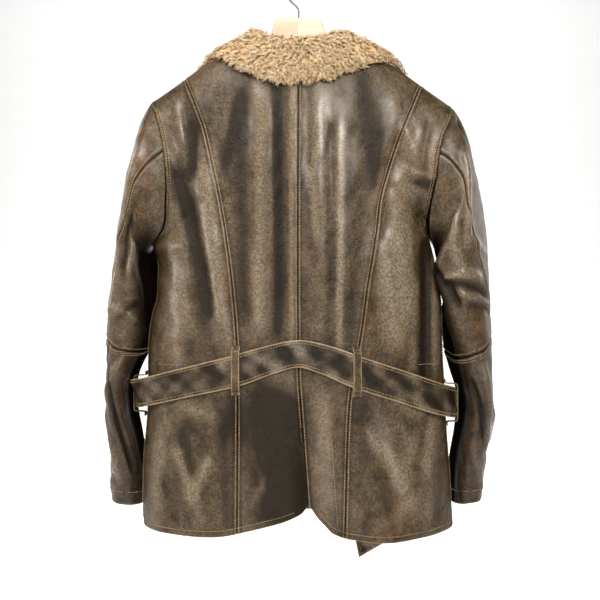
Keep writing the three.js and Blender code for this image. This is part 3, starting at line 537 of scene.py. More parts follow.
class Value:
    """A shader value that adds its own maths nodes."""

    def __init__(self, tree, socket):
        self.tree = tree
        self.socket = socket

    def maths(self, operation, first, second):
        node = self.tree.nodes.new("ShaderNodeMath")
        node.operation = operation
        for socket, value in zip(node.inputs, (first, second)):
            if isinstance(value, Value):
                self.tree.links.new(value.socket, socket)
            else:
                socket.default_value = value
        return Value(self.tree, node.outputs[0])

    def __add__(self, other):
        return self.maths("ADD", self, other)

    def __sub__(self, other):
        return self.maths("SUBTRACT", self, other)

    def __rsub__(self, other):
        return self.maths("SUBTRACT", other, self)

    def __mul__(self, other):
        return self.maths("MULTIPLY", self, other)

    def __abs__(self):
        return self.maths("ABSOLUTE", self, 0.0)

    def above(self, low, high):
        """How far the value is from low to high, kept between 0 and 1."""
        scaled = self.maths("MULTIPLY", self - low, 1 / (high - low))
        return scaled.maths("MINIMUM", scaled.maths("MAXIMUM", scaled, 0.0), 1.0)

    __radd__ = __add__
    __rmul__ = __mul__


class Finish:
    """A material with one surface shader. make() adds any other node."""

    def __init__(self, name, **constants):
        self.material = bpy.data.materials.new(name)
        self.material.use_nodes = True
        self.tree = self.material.node_tree
        self.surface = self.tree.nodes["Principled BSDF"]
        for key, value in constants.items():
            self.surface.inputs[key.replace("_", " ")].default_value = value
        self.place = self.make("TexCoord", out="Object")

    def make(self, kind, settings=None, sockets=None, out=0):
        node = self.tree.nodes.new("ShaderNode" + kind)
        for key, value in (settings or {}).items():
            setattr(node, key, value)
        for key, value in (sockets or {}).items():
            if isinstance(value, Value):
                self.tree.links.new(value.socket, node.inputs[key])
            else:
                node.inputs[key].default_value = value
        return Value(self.tree, node.outputs[out])

    def noise(self, size, detail=2.0, rough=0.5, stretch=None):
        where = self.place
        if stretch:
            where = self.make("Mapping", None, {"Vector": self.place, "Scale": stretch})
        return self.make("TexNoise", None, {"Vector": where, "Scale": 1 / (size * MM), "Detail": detail,
                                            "Roughness": rough}, "Fac")

    def attribute(self, name):
        return self.make("Attribute", {"attribute_name": name}, None, "Fac")

    def mix(self, factor, first, second):
        return self.make("Mix", {"data_type": "RGBA"}, {0: factor, 6: first, 7: second}, 2)

    def feed(self, key, value):
        self.tree.links.new(value.socket, self.surface.inputs[key])

    def shade_deep(self, factor, colour):
        """Mixes in a plain dark surface, for places that hardly any light reaches."""
        dull = self.make("BsdfDiffuse", None, {"Color": colour}, "BSDF")
        shiny = Value(self.tree, self.surface.outputs["BSDF"])
        mixed = self.make("MixShader", None, {0: factor, 1: shiny, 2: dull}, "Shader")
        self.tree.links.new(mixed.socket, self.tree.nodes["Material Output"].inputs["Surface"])

    def bump(self, height, distance, strength=1.0):
        self.feed("Normal", self.make("Bump", None, {"Height": height, "Distance": distance * MM,
                                                     "Strength": strength}, "Normal"))


def darker(colour, share):
    return tuple(v * share for v in colour[:3]) + (1,)


def leather(name, base, grey, red, olive, worn, shine, sheen):
    """Distressed leather: patchy dye, a pebbled grain, pale worn edges, painted highlights on crests and
    painted shade.
    """
    f = Finish(name, Specular_IOR_Level=0.20, Coat_Roughness=0.33, Coat_IOR=1.5)
    # The darkest dye colours the random dark blotches and is also the painted shade in the troughs and
    # along the seams
    dark_dye_and_shade = darker(base, 0.25)
    # A lighter, bluer grey, painted on the crests as a highlight
    light = tuple(v * k for v, k in zip(grey[:3], (1.55, 1.7, 2.0))) + (1,)
    patches = f.noise(95, 4, 0.6).above(0.42, 0.66)
    rusty = f.noise(80, 3, 0.55, (1.0, 1.0, 0.45)).above(0.52, 0.66)
    mossy = f.noise(120, 3, 0.5).above(0.48, 0.66)
    speck = f.noise(3.4, 3, 0.8).above(0.42, 0.60)
    blotch = f.noise(17, 5, 0.75).above(0.40, 0.66)
    cloud = f.noise(46, 4, 0.6, (1.0, 1.0, 0.5))
    colour = f.mix(patches * 0.28, base, grey)
    colour = f.mix(rusty * 0.75, colour, red)
    colour = f.mix(mossy * 0.5, colour, olive)
    colour = f.mix(speck * (cloud.above(0.36, 0.62) * 0.55 + 0.38), colour, grey)
    colour = f.mix(blotch * (0.92 - cloud.above(0.40, 0.64) * 0.45), colour, dark_dye_and_shade)
    # The attribute holds painted highlights above zero and painted shade below zero, and on the belt an
    # uneven random tone
    painted_light_and_tone = f.attribute("painted_light_and_tone")
    colour = f.mix(painted_light_and_tone.above(0.0, 1.0) * (0.30 + speck * 0.55), colour, light)
    colour = f.mix((painted_light_and_tone * -1.0).above(0.0, 0.9) * 0.93, colour, dark_dye_and_shade)
    rub = f.attribute("worn")
    ragged = (rub + (f.noise(7, 4, 0.8) - 0.5) * 1.1 * rub.above(0.02, 0.2)).above(0.30, 0.80)
    colour = f.mix(ragged * 0.85, colour, worn)
    f.feed("Base Color", colour)
    pebbles = f.make("TexVoronoi", {"feature": "SMOOTH_F1"},
                     {"Vector": f.place, "Scale": 1 / (3.0 * MM), "Smoothness": 0.5}, "Distance")
    crumple = abs(f.noise(30, 6, 0.62) - 0.5)
    grain = pebbles * 0.30 + f.noise(5, 4, 0.8) * 0.45 + crumple * 3.0
    f.bump(grain, 1.5)
    f.feed("Roughness", f.noise(40, 4, 0.6) * 0.30 + shine - painted_light_and_tone * 0.14 + ragged * 0.2 + speck * 0.12)
    f.feed("Coat Weight", (painted_light_and_tone + cloud * 1.6).above(0.2, 1.9) * sheen)
    # Painted shade: a near black surface where the painted shade runs deepest
    f.shade_deep((painted_light_and_tone * -1.0).above(1.1, 2.2), (0.006, 0.004, 0.002, 1))
    return f.material


def suede(name, base):
    f = Finish(name, Roughness=0.92, Specular_IOR_Level=0.2)
    nap = f.noise(1.1, 4, 0.7)
    cloudy = f.noise(22, 4, 0.6)
    mottled = f.mix(nap.above(0.4, 0.65), base, darker(base, 0.6))
    f.feed("Base Color", f.mix(cloudy.above(0.35, 0.7), mottled, base))
    f.bump(nap, 0.3, 0.7)
    return f.material


def fur_finish(name, root, middle, tip):
    """Fur: dark at the roots as painted shade between the strands, pale at the tips, each lock its own
    shade.
    """
    f = Finish(name, Roughness=0.72, Specular_IOR_Level=0.25)
    along = f.attribute("tip")
    shade = f.attribute("shade")
    # The dark root colour is painted shade between the strands
    colour = f.mix(along.above(0.05, 0.5), root, middle)
    colour = f.mix((along * (0.45 + shade * 0.8)).above(0.35, 1.0), colour, tip)
    colour = f.mix((1 - shade) * 0.30, colour, root)
    f.feed("Base Color", colour)
    f.bump(f.noise(0.9, 2, 0.5), 0.1, 0.4)
    return f.material


def thread_finish(name, base):
    f = Finish(name, Roughness=0.7, Specular_IOR_Level=0.3)
    grime = f.noise(30, 4, 0.65).above(0.38, 0.68)
    f.feed("Base Color", f.mix(grime * 0.85, base, darker(base, 0.28)))
    twist = f.make("TexWave", None, {"Vector": f.place, "Scale": 900.0, "Distortion": 1.0}, "Fac")
    f.bump(twist, 0.1, 0.5)
    return f.material


def wood_finish(name, base, dark):
    f = Finish(name, Specular_IOR_Level=0.5)
    rings = f.noise(9, 5, 0.6, (0.12, 1.0, 1.0))
    pores = f.noise(1.4, 3, 0.6, (0.06, 1.0, 1.0)).above(0.52, 0.68)
    colour = f.mix(rings.above(0.35, 0.65), base, dark)
    f.feed("Base Color", f.mix(pores * 0.3, colour, darker(dark, 0.6)))
    f.feed("Roughness", pores * 0.2 + 0.4)
    f.bump(rings * 0.6 + pores * -0.4, 0.15, 0.5)
    return f.material


def steel_finish(name):
    f = Finish(name, Metallic=1.0, Specular_IOR_Level=0.5)
    scratch = f.noise(0.8, 3, 0.7, (1.0, 1.0, 0.2))
    f.feed("Base Color", f.mix(scratch.above(0.4, 0.7), (0.62, 0.63, 0.65, 1), (0.42, 0.42, 0.44, 1)))
    f.feed("Roughness", scratch * 0.25 + 0.15)
    f.bump(scratch, 0.05, 0.3)
    return f.material


def horn_finish(name):
    f = Finish(name, Specular_IOR_Level=0.28)
    streaks = f.noise(3, 4, 0.6, (0.3, 1.0, 1.0)).above(0.4, 0.65)
    f.feed("Base Color", f.mix(streaks, (0.016, 0.008, 0.005, 1), (0.055, 0.028, 0.014, 1)))
    f.feed("Roughness", streaks * 0.15 + 0.25)
    f.bump(f.noise(1.2, 2, 0.5), 0.05, 0.3)
    return f.material


FINISHES = {}


def finish_named(name):
    """Each finish is made once, from the coat's own colours."""
    if name in FINISHES:
        return FINISHES[name]
    coat = bpy.context.scene.worn_coat
    colours = lambda *keys: [(*getattr(coat, key), 1.0) for key in keys]
    dyes = colours("leather_colour", "grey_colour", "red_colour", "olive_colour", "worn_colour")
    dark_dyes = [darker(dye, k) for dye, k in zip(dyes, (0.62, 0.7, 0.8, 0.7, 1.0))]
    make = {
        "coat": lambda: leather("coat_leather", *dyes, 0.22, 0.70),
        "dark": lambda: leather("dark_leather", *dark_dyes, 0.18, 0.9),
        "suede": lambda: suede("leather_inside", *colours("inside_colour")),
        "fur": lambda: fur_finish("collar_fur", *colours("fur_root", "fur_colour", "fur_tip")),
        "thread": lambda: thread_finish("topstitch_thread", *colours("thread_colour")),
        "wood_left": lambda: wood_finish("hanger_wood_left", (0.62, 0.40, 0.28, 1),
                                         (0.55, 0.34, 0.23, 1)),
        "wood_right": lambda: wood_finish("hanger_wood_right", (0.72, 0.50, 0.37, 1),
                                          (0.66, 0.44, 0.31, 1)),
        "steel": lambda: steel_finish("hook_steel"),
        "horn": lambda: horn_finish("button_horn"),
    }
    FINISHES[name] = make[name]()
    return FINISHES[name]


def centre(depth):
    return smooth(CENTRE_SEAM, depth)


def underlap(x, depth):
    """The left of the vent goes in under the right flap."""
    thick = bpy.context.scene.worn_coat.leather_mm
    under = ramp(30, 2, x - centre(depth)) * ramp(650, VENT_TOP - 14, depth)
    fall = 6 * ramp(24, -14, x - centre(depth)) * ramp(VENT_TOP, HEM, depth)
    return -(thick + 1.6) * under - fall


def overlap(x, _depth=None):
    """The right front stands over the left one, the same at any depth."""
    return LAP_LIFT * ramp(-LAP_HALF - 46, -LAP_HALF - 10, x)


def flat(x, depth):
    return np.zeros(np.broadcast(x, depth).shape)


def turned_edge(away):
    """How an edge turns down, with a slight swell beside it."""
    turned = -bpy.context.scene.worn_coat.edge_roll_mm * hill(away, 1.5)
    return turned + 0.45 * hill(away, 2.6, 4.0)


def rubbed_edge(edge, seam):
    """How worn the leather is along any edge, and on the ridge beside a seam."""
    return 0.36 * hill(seam, 1.2, 2.4) + 0.16 * np.exp(-edge / 9)


def gathered(count, start, end, lean=1.0):
    """Shares from 0 to 1 with extra ones near both ends, for edges that turn down."""
    inner = 1 - np.power(1 - np.linspace(0, 1, count + 1), lean)
    inner = inner[(inner > start[-1] * 1.15) & (inner < 1 - end[-1] * 1.15)]
    return np.concatenate([start, inner, 1 - np.array(end)[::-1]])


def back_top(x):
    return np.where(np.abs(x) < NECK_HALF, smooth(BACK_NECK, np.abs(x)), shoulder(x))


def back_hem(x):
    return smooth(BACK_HEM, x)


def front_top(side):
    def top(x):
        x = np.maximum(side["sign"] * x, 0)
        return np.where(x < NECK_HALF, smooth(FRONT_NECK, x), shoulder(x))
    return top


def panel(name, back, near, far, top, hem, columns, rows, outward=flat, lean=1.0):
    """A panel of the body from its top line to its hem, its seam edges turned down."""
    coat = bpy.context.scene.worn_coat
    t = gathered(rows, (0, 0.02), HEM_SHARES)[:, None]
    share = gathered(columns, SEAM_SHARES, SEAM_SHARES, lean)[None, :]
    x_at = lambda depth: near(depth) + (far(depth) - near(depth)) * share
    start = top(x_at(np.full(share.shape, 150.0)))
    for _ in range(60):
        start = 0.75 * start + 0.25 * top(x_at(start))
    end = hem(x_at(np.full(share.shape, HEM - 10.0)))
    depth = start + (end - start) * t * t * (1.6 - 0.6 * t)
    x = x_at(depth)
    from_near = np.abs(x - near(depth))
    from_far = np.abs(far(depth) - x)
    from_hem = end - depth
    roll = np.zeros_like(x)
    seam = np.minimum(from_near, from_far)
    edge = np.minimum(seam, from_hem)
    for away in (from_near, from_far, from_hem):
        roll += turned_edge(away)
    wave = np.sin(depth * 2 * math.pi / PUCKER + 2 * ripple(points(x, 0.0, depth), 60, 3))
    roll += 0.22 * hill(seam, 6) * wave
    outer = body_point(back, x, depth, outward(x, depth) + roll)
    inner = body_point(back, x, depth, outward(x, depth) - coat.leather_mm)
    for wall in (outer, inner):
        wall[..., 1] = np.maximum(wall[..., 1], HALF_SEAM) if back else np.minimum(wall[..., 1], -HALF_SEAM)
    # Painted highlights on the crests and painted shade in the troughs, from the fold heights and on the
    # back from the listed bands
    height = folds(BACK_FOLDS if back else FRONT_FOLDS, x, depth) / FOLD_TONE
    height += folds(BACK_CREASES if back else FRONT_CREASES, x, depth, CREASE_FADE) / CREASE_TONE
    if back:
        height = 0.45 * height + folds(BACK_PAINTED_LIGHT, x, depth, 26)
    # Then painted shade along each seam and in the groove beside it
    painted_light_and_tone = np.clip(height, -1, 1) - 1.6 * hill(seam, 0.9) - 0.6 * hill(seam, 1.4, 5.2)
    worn = rubbed_edge(edge, seam) + 0.75 * hill(from_hem, 1.1)
    if back:
        beside = x - centre(depth)
        shadow = ramp(40, -10, beside) * ramp(-20, -14, beside) * (beside > 0)
        painted_light_and_tone = painted_light_and_tone - 0.9 * shadow * ramp(VENT_TOP - 40, VENT_TOP + 60, depth)
    lay_wall(name, outer, inner, worn, painted_light_and_tone, ("coat", "suede"), "coat_leather")


def turn_from(degrees, angle):
    """Degrees from a direction to an angle, the short way round."""
    return np.mod(np.degrees(angle) - degrees + 900, 360) - 180


def sag(name, t, angle):
    """How far a sleeve sags towards the body."""
    total = np.zeros(np.broadcast(t, angle).shape)
    for at, towards, reach, long, wide in SAGS[name]:
        turn = turn_from(towards, angle)
        total += reach * hill(t, long, at) * hill(turn, wide)
    return total


def sleeve_point(side, t, angle):
    """A point of a sleeve, with its sags towards the body. The angle starts at the back and goes outside.
    """
    name = side["name"]
    t, angle = np.broadcast_arrays(np.asarray(t, float), np.asarray(angle, float))
    table = [[i / (len(SLEEVES[name]) - 1), *ring] for i, ring in enumerate(SLEEVES[name])]
    outer_x, outer_depth, inner_x, inner_depth, deep, middle, lean = (
        smooth(table, t, k) for k in range(1, 8))
    out, rear = np.sin(angle), np.cos(angle)
    rounded = lambda v: np.sign(v) * np.abs(v) ** 0.86
    y = middle + deep * rounded(rear)
    x = (outer_x + inner_x) / 2 + (outer_x - inner_x) / 2 * rounded(out) - lean * (y - middle)
    x = x - sag(name, t, angle)
    depth = (outer_depth + inner_depth) / 2 + (outer_depth - inner_depth) / 2 * out
    half = (side["armpit"] - side["tip"]) / 2
    hole = side["tip"] + half - half * out
    blend = ramp(0, 0.2, t)
    x = (smooth(side["edge"], hole) + SLEEVE_SEAT) * (1 - blend) + x * blend
    y = ARMHOLE_DEPTH * rear * (1 - blend) + y * blend
    depth = hole * (1 - blend) + depth * blend
    return points(side["sign"] * x, y, -depth)


def sleeve_height(side, t, angle):
    """Creases of a sleeve, worked out on its unrolled leather."""
    around = np.degrees(angle)
    around = np.where(around > 300, around - 360, around)
    lines = [[math.radians(a1) * SLEEVE_ROUND, t1 * SLEEVE_LENGTH,
              math.radians(a2) * SLEEVE_ROUND, t2 * SLEEVE_LENGTH, rise, half]
             for t1, a1, t2, a2, rise, half in SLEEVE_CREASES[side["name"]]]
    return folds(lines, np.radians(around) * SLEEVE_ROUND, t * SLEEVE_LENGTH, CREASE_FADE)


def sleeve_normal(side, t, angle):
    """The way out of a sleeve's leather."""
    low, high = np.maximum(t - 0.004, 0), np.minimum(t + 0.004, 1)
    along = sleeve_point(side, high, angle) - sleeve_point(side, low, angle)
    around = sleeve_point(side, t, angle + 0.02) - sleeve_point(side, t, angle - 0.02)
    return unit(np.cross(around, along)) * side["sign"]


def sleeve_surface(side, t, angle, lift=0.0):
    place = sleeve_point(side, t, angle)
    calm = ramp(0.0, 0.08, t)
    height = 1.5 * sleeve_height(side, t, angle)
    height = height + 0.8 * ripple(place, 60, 31) + 0.35 * ripple(place, 22, 41)
    return place + sleeve_normal(side, t, angle) * (calm * height + lift)[..., None]


def elbow(angle):
    return ELBOW + ELBOW_DIP * np.power(0.5 + 0.5 * np.cos(angle), 1.5)


def sleeve_piece(name, side, high, low, start, end, columns, rows, closed=False, finish="coat"):
    """A sleeve panel between two rings and two seams, each edge turned down."""
    coat = bpy.context.scene.worn_coat
    turned = (SEAM_SHARES, SEAM_SHARES)
    share = np.linspace(0, 1, columns, endpoint=False) if closed else gathered(columns, *turned)
    share = share[None, :]
    angle_at = lambda t: np.radians(start(t) + (end(t) - start(t)) * share)
    top = high(angle_at(0.0))
    bottom = low(angle_at(ELBOW))
    t = top + (bottom - top) * gathered(rows, *turned)[:, None]
    angle = angle_at(t)
    from_top = (t - top) * SLEEVE_LENGTH
    from_bottom = (bottom - t) * SLEEVE_LENGTH
    edge = np.minimum(from_top, from_bottom)
    if not closed:
        across = np.minimum(share, 1 - share) * np.radians(end(t) - start(t)) * SLEEVE_ROUND
        edge = np.minimum(edge, across)
    outer = sleeve_surface(side, t, angle, turned_edge(edge))
    inner = sleeve_surface(side, t, angle, np.full(edge.shape, -coat.leather_mm))
    worn = rubbed_edge(edge, edge)
    # Painted highlights on the crests, painted shade in the troughs and along the seams
    painted_light_and_tone = np.clip(sleeve_height(side, t, angle) / 3.0, -1.3, 1) - 1.4 * hill(edge, 0.9)
    # The side that faces the body is painted near black, as painted shade for the deep shade there
    painted_light_and_tone = painted_light_and_tone - 3.0 * hill(turn_from(INSIDE_ANGLE, angle), 54, power=4) * ramp(0.05, 0.2, t)
    lay_wall(name, outer, inner, worn, painted_light_and_tone, (finish, "suede"), "coat_leather",
             closed)


def collar_row(back, side, t):
    table = (COLLAR_BACK if back else COLLAR_FRONT)[side["name"]]
    return [float(smooth(table, t, k)) for k in (1, 2, 3, 4)]


def collar_section(back, side, t, full, edge_in):
    """A closed ring of the collar: its underside, its roll, and its top as deep as its fur."""
    s = side["sign"]
    neck_x, neck_depth, fall_x, fall_depth = collar_row(back, side, t)
    share = np.linspace(edge_in, 1, 9)
    x = s * (fall_x + (neck_x - fall_x) * share)
    fall_drop = fall_depth - shoulder(fall_x)
    neck_drop = neck_depth - shoulder(neck_x)
    depth = shoulder(x) + np.maximum(fall_drop + (neck_drop - fall_drop) * share, 0)
    lapped = overlap(x) if not back and s < 0 else np.zeros_like(x)
    seat = (COLLAR_SEAT if back else LAPEL_SEAT) + 0.8 + lapped
    under = body_point(back, x, depth, seat, fine=False)
    thick = full * FUR[side["name"]] * (1 - 0.55 * hill(share, 0.06, edge_in))
    over = under + body_normal(back, x, depth, fine=False) * thick[:, None]
    neck, crown = under[-1], over[-1]
    inward = unit(np.array([-neck[0], -neck[1] if back else 0.0, 0.0]))
    rise = (1 if back else 1 - 0.75 * float(ramp(100, 220, neck_depth))) * (0.55 + 0.45 * full)
    foot = neck + inward * 5
    heel = foot + UP * ROLL * 0.6 * rise + inward * 3
    roll = neck + UP * ROLL * rise + inward
    brow = roll + (crown - roll) * 0.55 + UP * 2.5 * rise
    return np.array([*under, foot, heel, roll, brow, *over[:-1][::-1]])


def collar_sections(full, edge_in, count):
    """Sections from the front of the left side, round the back, to the front of the right."""
    rows = []
    for side in SIDES:
        front = [(False, t) for t in np.linspace(0, 1, count)]
        rear = [(True, t) for t in np.linspace(0, 0.97, count)]
        way = rear + front
        way = way[::-1] if side is LEFT else way[1:]
        rows += [collar_section(back, side, t, full, edge_in) for back, t in way]
    return np.array(rows)


def even_ring(sections, around):
    """Each ring re-spaced evenly and rounded a little."""
    out = []
    for ring in sections:
        loop = np.concatenate([ring, ring[:1]])
        run = run_length(loop)
        out.append(walk(loop, run, np.linspace(0, run[-1], around, endpoint=False)))
    grid = np.array(out)
    for _ in range(3):
        grid = 0.5 * grid + 0.25 * (np.roll(grid, 1, 1) + np.roll(grid, -1, 1))
        soften(grid)
    return grid


def tube_faces(rings, around):
    r, c = np.meshgrid(np.arange(rings - 1), np.arange(around), indexing="ij")
    at = lambda r, c: r * around + c % around
    return np.stack([at(r, c), at(r, c + 1), at(r + 1, c + 1), at(r + 1, c)], -1).reshape(-1, 4)


def lay_small(name, corners, tris, finish, values=None):
    """Many copies of one small form: its corners in turn, and its faces by corner."""
    copies = len(corners[0])
    verts = np.stack(corners, 1).reshape(-1, 3)
    faces = (np.array(tris)[None] + len(corners) * np.arange(copies)[:, None, None]).reshape(-1, 3)
    piece = lay_mesh(name, verts, faces, [finish_named(finish)], None, values)
    piece.data.polygons.foreach_set("use_smooth", np.ones(len(faces), bool))
    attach(piece, BODY)


def grow_fur(name, grid, rows, count, seed):
    """Strands that stand on the collar's top and edges, gathered into locks that lie outwards."""
    coat = bpy.context.scene.worn_coat
    rng = np.random.default_rng(seed)
    part = grid[rows[0]:rows[1]]
    a = part[:-1, :]
    b = part[1:, :]
    c = np.roll(part, -1, 1)[:-1]
    cross = np.cross(b - a, c - a)
    area = np.linalg.norm(cross, axis=-1)
    middle = part.mean(axis=1, keepdims=True)[:-1]
    normal = unit(cross)
    normal = normal * np.sign(np.einsum("ijk,ijk->ij", normal, a - middle).sum())
    # The underside lies on the leather, so no strand starts there
    place = (a + b + c) / 3
    back = place[..., 1] > 0
    depth = -place[..., 2]
    x = place[..., 0]
    on_back, on_front = (body_point(rear, x, np.maximum(depth, 90), 0, False)[..., 1]
                         for rear in (True, False))
    skin = np.where(back, on_back, on_front)
    stand = np.where(back, place[..., 1] - skin, skin - place[..., 1])
    facing = np.where(back, normal[..., 1], -normal[..., 1])
    under = (facing < -0.35) & (stand < 7) & (depth > shoulder(x) + 3)
    weight = area * np.where(under, 0.0, 1.0)
    chance = (weight / weight.sum()).ravel()
    # The way the fur lies: away from the neck
    away = unit(points(x, place[..., 1] * 0.4, 84 - depth))
    lay = unit(away - normal * np.einsum("ijk,ijk->ij", away, normal)[..., None])
    locks = max(count // LOCK, 1)
    pick = rng.choice(len(chance), size=locks, p=chance)
    spread = rng.normal(size=(locks, LOCK, 3)) * 1.25
    root = place.reshape(-1, 3)[pick][:, None] + spread
    n = normal.reshape(-1, 3)[pick][:, None]
    root = root - n * np.einsum("ijk,ijk->ij", spread, np.broadcast_to(n, spread.shape))[..., None]
    way = lay.reshape(-1, 3)[pick]
    swing = rng.normal(size=(locks, 3)) * 0.34 + 0.5 * np.stack(
        [ripple(place.reshape(-1, 3)[pick], 26, seed + k) for k in range(3)], -1)
    lean = unit(way + swing * 0.8)[:, None]
    length = (coat.fur_mm * rng.uniform(0.7, 1.3, size=(locks, 1))
              * rng.uniform(0.8, 1.1, size=(locks, LOCK)))
    rise = rng.uniform(0.35, 0.75, size=(locks, 1, 1))
    start = unit(n * 0.9 + lean * 0.6)
    late = unit(n * 0.25 * rise + lean)
    gather = (root.mean(axis=1, keepdims=True) - root) * 0.75
    one = root + start * length[..., None] * 0.55 * rise + gather * 0.15
    curl = rng.normal(size=(locks, 1, 3)) * 0.35
    two = one + unit(late + curl) * length[..., None] * 0.6 + gather * 0.7
    shade = (rng.uniform(0.0, 1.0, size=(locks, 1)) * 0.45 + rng.uniform(0.1, 0.55, (locks, LOCK))).ravel()
    spine = np.stack([root, one, two], 2).reshape(-1, 3, 3)
    lean, n = (np.broadcast_to(v, root.shape).reshape(-1, 3) for v in (lean, n))
    side = unit(np.cross(n, lean) + 1e-6)
    up = unit(np.cross(side, lean))
    verts, tips = [], []
    for k, wide, tip in ((0, 0.55, 0.0), (1, 0.5, 0.5)):
        for angle in np.radians((90, 210, 330)):
            offset = side * math.cos(angle) + up * math.sin(angle)
            verts.append(spine[:, k] + offset * wide * coat.strand_mm)
            tips.append(tip)
    verts.append(spine[:, 2])
    tips.append(1.0)
    tris = [[2, 1, 0]]
    for j in range(3):
        q = (j + 1) % 3
        tris += [[j, q, q + 3], [j, q + 3, j + 3], [j + 3, q + 3, 6]]
    lay_small(name, verts, tris, "fur",
              {"tip": np.tile(tips, len(spine)), "shade": np.repeat(shade, len(verts))})


def catmull(t):
    """The belt's middle line, a smooth curve through its route."""
    route = np.array([[x, y, -d] for x, y, d, _ in BELT_ROUTE], float)
    last = len(route) - 1
    p = np.clip(np.asarray(t, float), 0, 1) * last
    i = np.minimum(p.astype(int), last - 1)
    w = (p - i)[..., None]
    padded = np.concatenate([[2 * route[0] - route[1]], route, [2 * route[-1] - route[-2]]])
    a, b, c, d = (padded[i + k] for k in range(4))
    gap = lambda u, v: np.maximum(np.sum((u - v) ** 2, -1, keepdims=True) ** 0.25, 1e-4)
    g0, g1, g2 = gap(a, b), gap(b, c), gap(c, d)
    one = ((b - a) / g0 - (c - a) / (g0 + g1) + (c - b) / g1) * g1
    two = ((c - b) / g1 - (d - b) / (g1 + g2) + (d - c) / g2) * g1
    return b + one * w + (-3 * b + 3 * c - 2 * one - two) * w ** 2 + (2 * b - 2 * c + one + two) * w ** 3


def belt_frame(t):
    """The belt's middle, the ways up and out there, and its width."""
    t = np.asarray(t, float)
    middle = catmull(t)
    along = unit(catmull(np.minimum(t + 1e-4, 1)) - catmull(np.maximum(t - 1e-4, 0)))
    up = unit(UP - along * along[..., 2:3])
    out = unit(np.cross(along, up))
    turned = np.sign(out[..., 0] * middle[..., 0] + out[..., 1] * middle[..., 1])[..., None]
    widths = [[k / (len(BELT_ROUTE) - 1), row[3]] for k, row in enumerate(BELT_ROUTE)]
    return middle, up, out * turned, smooth(widths, t)


def fold_axis(end):
    return math.radians(-(90 + end["lean"])) / 2


def belt_end_point(end, s, w, lift):
    """A point of a free end: it rolls over a slanted fold and hangs."""
    middle = belt_frame(0.0 if end["sign"] > 0 else 1.0)[0]
    axis = fold_axis(end)
    ex, ey = math.cos(axis), math.sin(axis)
    p = s * ex + w * ey
    q = -s * ey + w * ex
    r = BELT_FOLD_RADIUS
    tilt = np.clip(q / r, 0, math.pi)
    flat_q = np.where(q > math.pi * r, math.pi * r - q, np.where(q > 0, r * np.sin(tilt), q))
    off = r * (1 - np.cos(tilt)) + np.cos(tilt) * lift
    flat_q = flat_q - np.sin(tilt) * lift
    a = p * ex - flat_q * ey
    b = p * ey + flat_q * ex
    return points(middle[0] - end["sign"] * (a + FOLD_AHEAD), middle[1] - off, middle[2] + b)


def belt_rows():
    """Every row of the belt, from the left tip round the back to the right tip."""
    def hang(end, width):
        axis = fold_axis(end)
        along = math.cos(axis) / math.sin(axis)
        found = [(-0.5 * width, 0.0)]
        rolls = 7 * BELT_FINE
        for i in range(rolls + 1):
            found.append((-math.pi * BELT_FOLD_RADIUS * i / rolls / math.sin(axis), along))
        turned = 1.12 * width
        count = 10 * BELT_FINE
        found += [(turned + (end["length"] - turned) * i / count, 0.0) for i in range(count + 1)]
        cut = math.tan(math.radians(end["slant"]))
        return [lambda w, lift, s=s, shear=shear: belt_end_point(
            end, s + (shear + cut * float(ramp(end["length"] - 60, end["length"], s))) * w * width,
            w * width, lift) for s, shear in found]

    def wrapped(t):
        middle, up, out, width = belt_frame(t)
        middle, up, out = (np.asarray(v).reshape(3) for v in (middle, up, out))

        def at(w, lift):
            tilt = 16 * w * hill(t, 0.02, 0.262)
            return middle + up * (w * float(width))[:, None] + out * (lift + tilt)[:, None]
        return at

    steps = 100 * BELT_FINE
    return (hang(BELT_ENDS["left"], BELT_ROUTE[0][3])[::-1]
            + [wrapped(i / steps) for i in range(steps + 1)]
            + hang(BELT_ENDS["right"], BELT_ROUTE[-1][3]))


def stitches(name, lines):
    """Topstitching: short thick stitches along each line, laid on the leather."""
    coat = bpy.context.scene.worn_coat
    pitch, length, radius = coat.stitch_mm, coat.stitch_mm * 0.74, coat.thread_mm / 2
    found = []
    for line, normal in lines:
        run = run_length(line)
        mids = np.arange(pitch, run[-1] - pitch, pitch)
        start, rise, fall, end = (walk(line, run, mids + shift * length)
                                  for shift in (-0.5, -0.32, 0.32, 0.5))
        up = unit(walk(normal, run, mids)) * radius
        across = unit(np.cross(end - start, up)) * radius
        corners = [start - up * 0.55]
        for where in (rise, fall):
            for side, lift in ((1, 0.35), (0, 1.15), (-1, 0.35), (0, -0.6)):
                corners.append(where + across * side + up * lift)
        found.append([*corners, end - up * 0.55])
    tris = []
    for j in range(4):
        p, q = 1 + j, 1 + (j + 1) % 4
        tris += [[0, q, p], [p, q, q + 4], [p, q + 4, p + 4], [9, p + 4, q + 4]]
    lay_small(name, [np.concatenate(same) for same in zip(*found)], tris, "thread")


def body_line(back, x_at, start, end, lift=0.65, outward=flat):
    depth = np.arange(start, end, 2.0)
    x = x_at(depth)
    return body_point(back, x, depth, outward(x, depth) + lift), body_normal(back, x, depth)


def hem_line(back, hem, x_from, x_to, up, outward=flat):
    x = np.linspace(x_from, x_to, int(abs(x_to - x_from) / 2))
    depth = hem(x) - up
    return body_point(back, x, depth, outward(x, depth) + 0.3), body_normal(back, x, depth)


def sleeve_line(side, t, angle, lift=0.5):
    t, angle = np.broadcast_arrays(np.asarray(t, float), np.asarray(angle, float))
    return sleeve_surface(side, t, angle, np.full(t.shape, lift)), sleeve_normal(side, t, angle)


def size_field(name, description, default, low, high):
    return bpy.props.FloatProperty(name=name, description=description + ", in mm", default=default,
                                   min=low, max=high)


def colour_field(name, description, default):
    return bpy.props.FloatVectorProperty(name=name, description=description, default=default,
                                         subtype="COLOR")


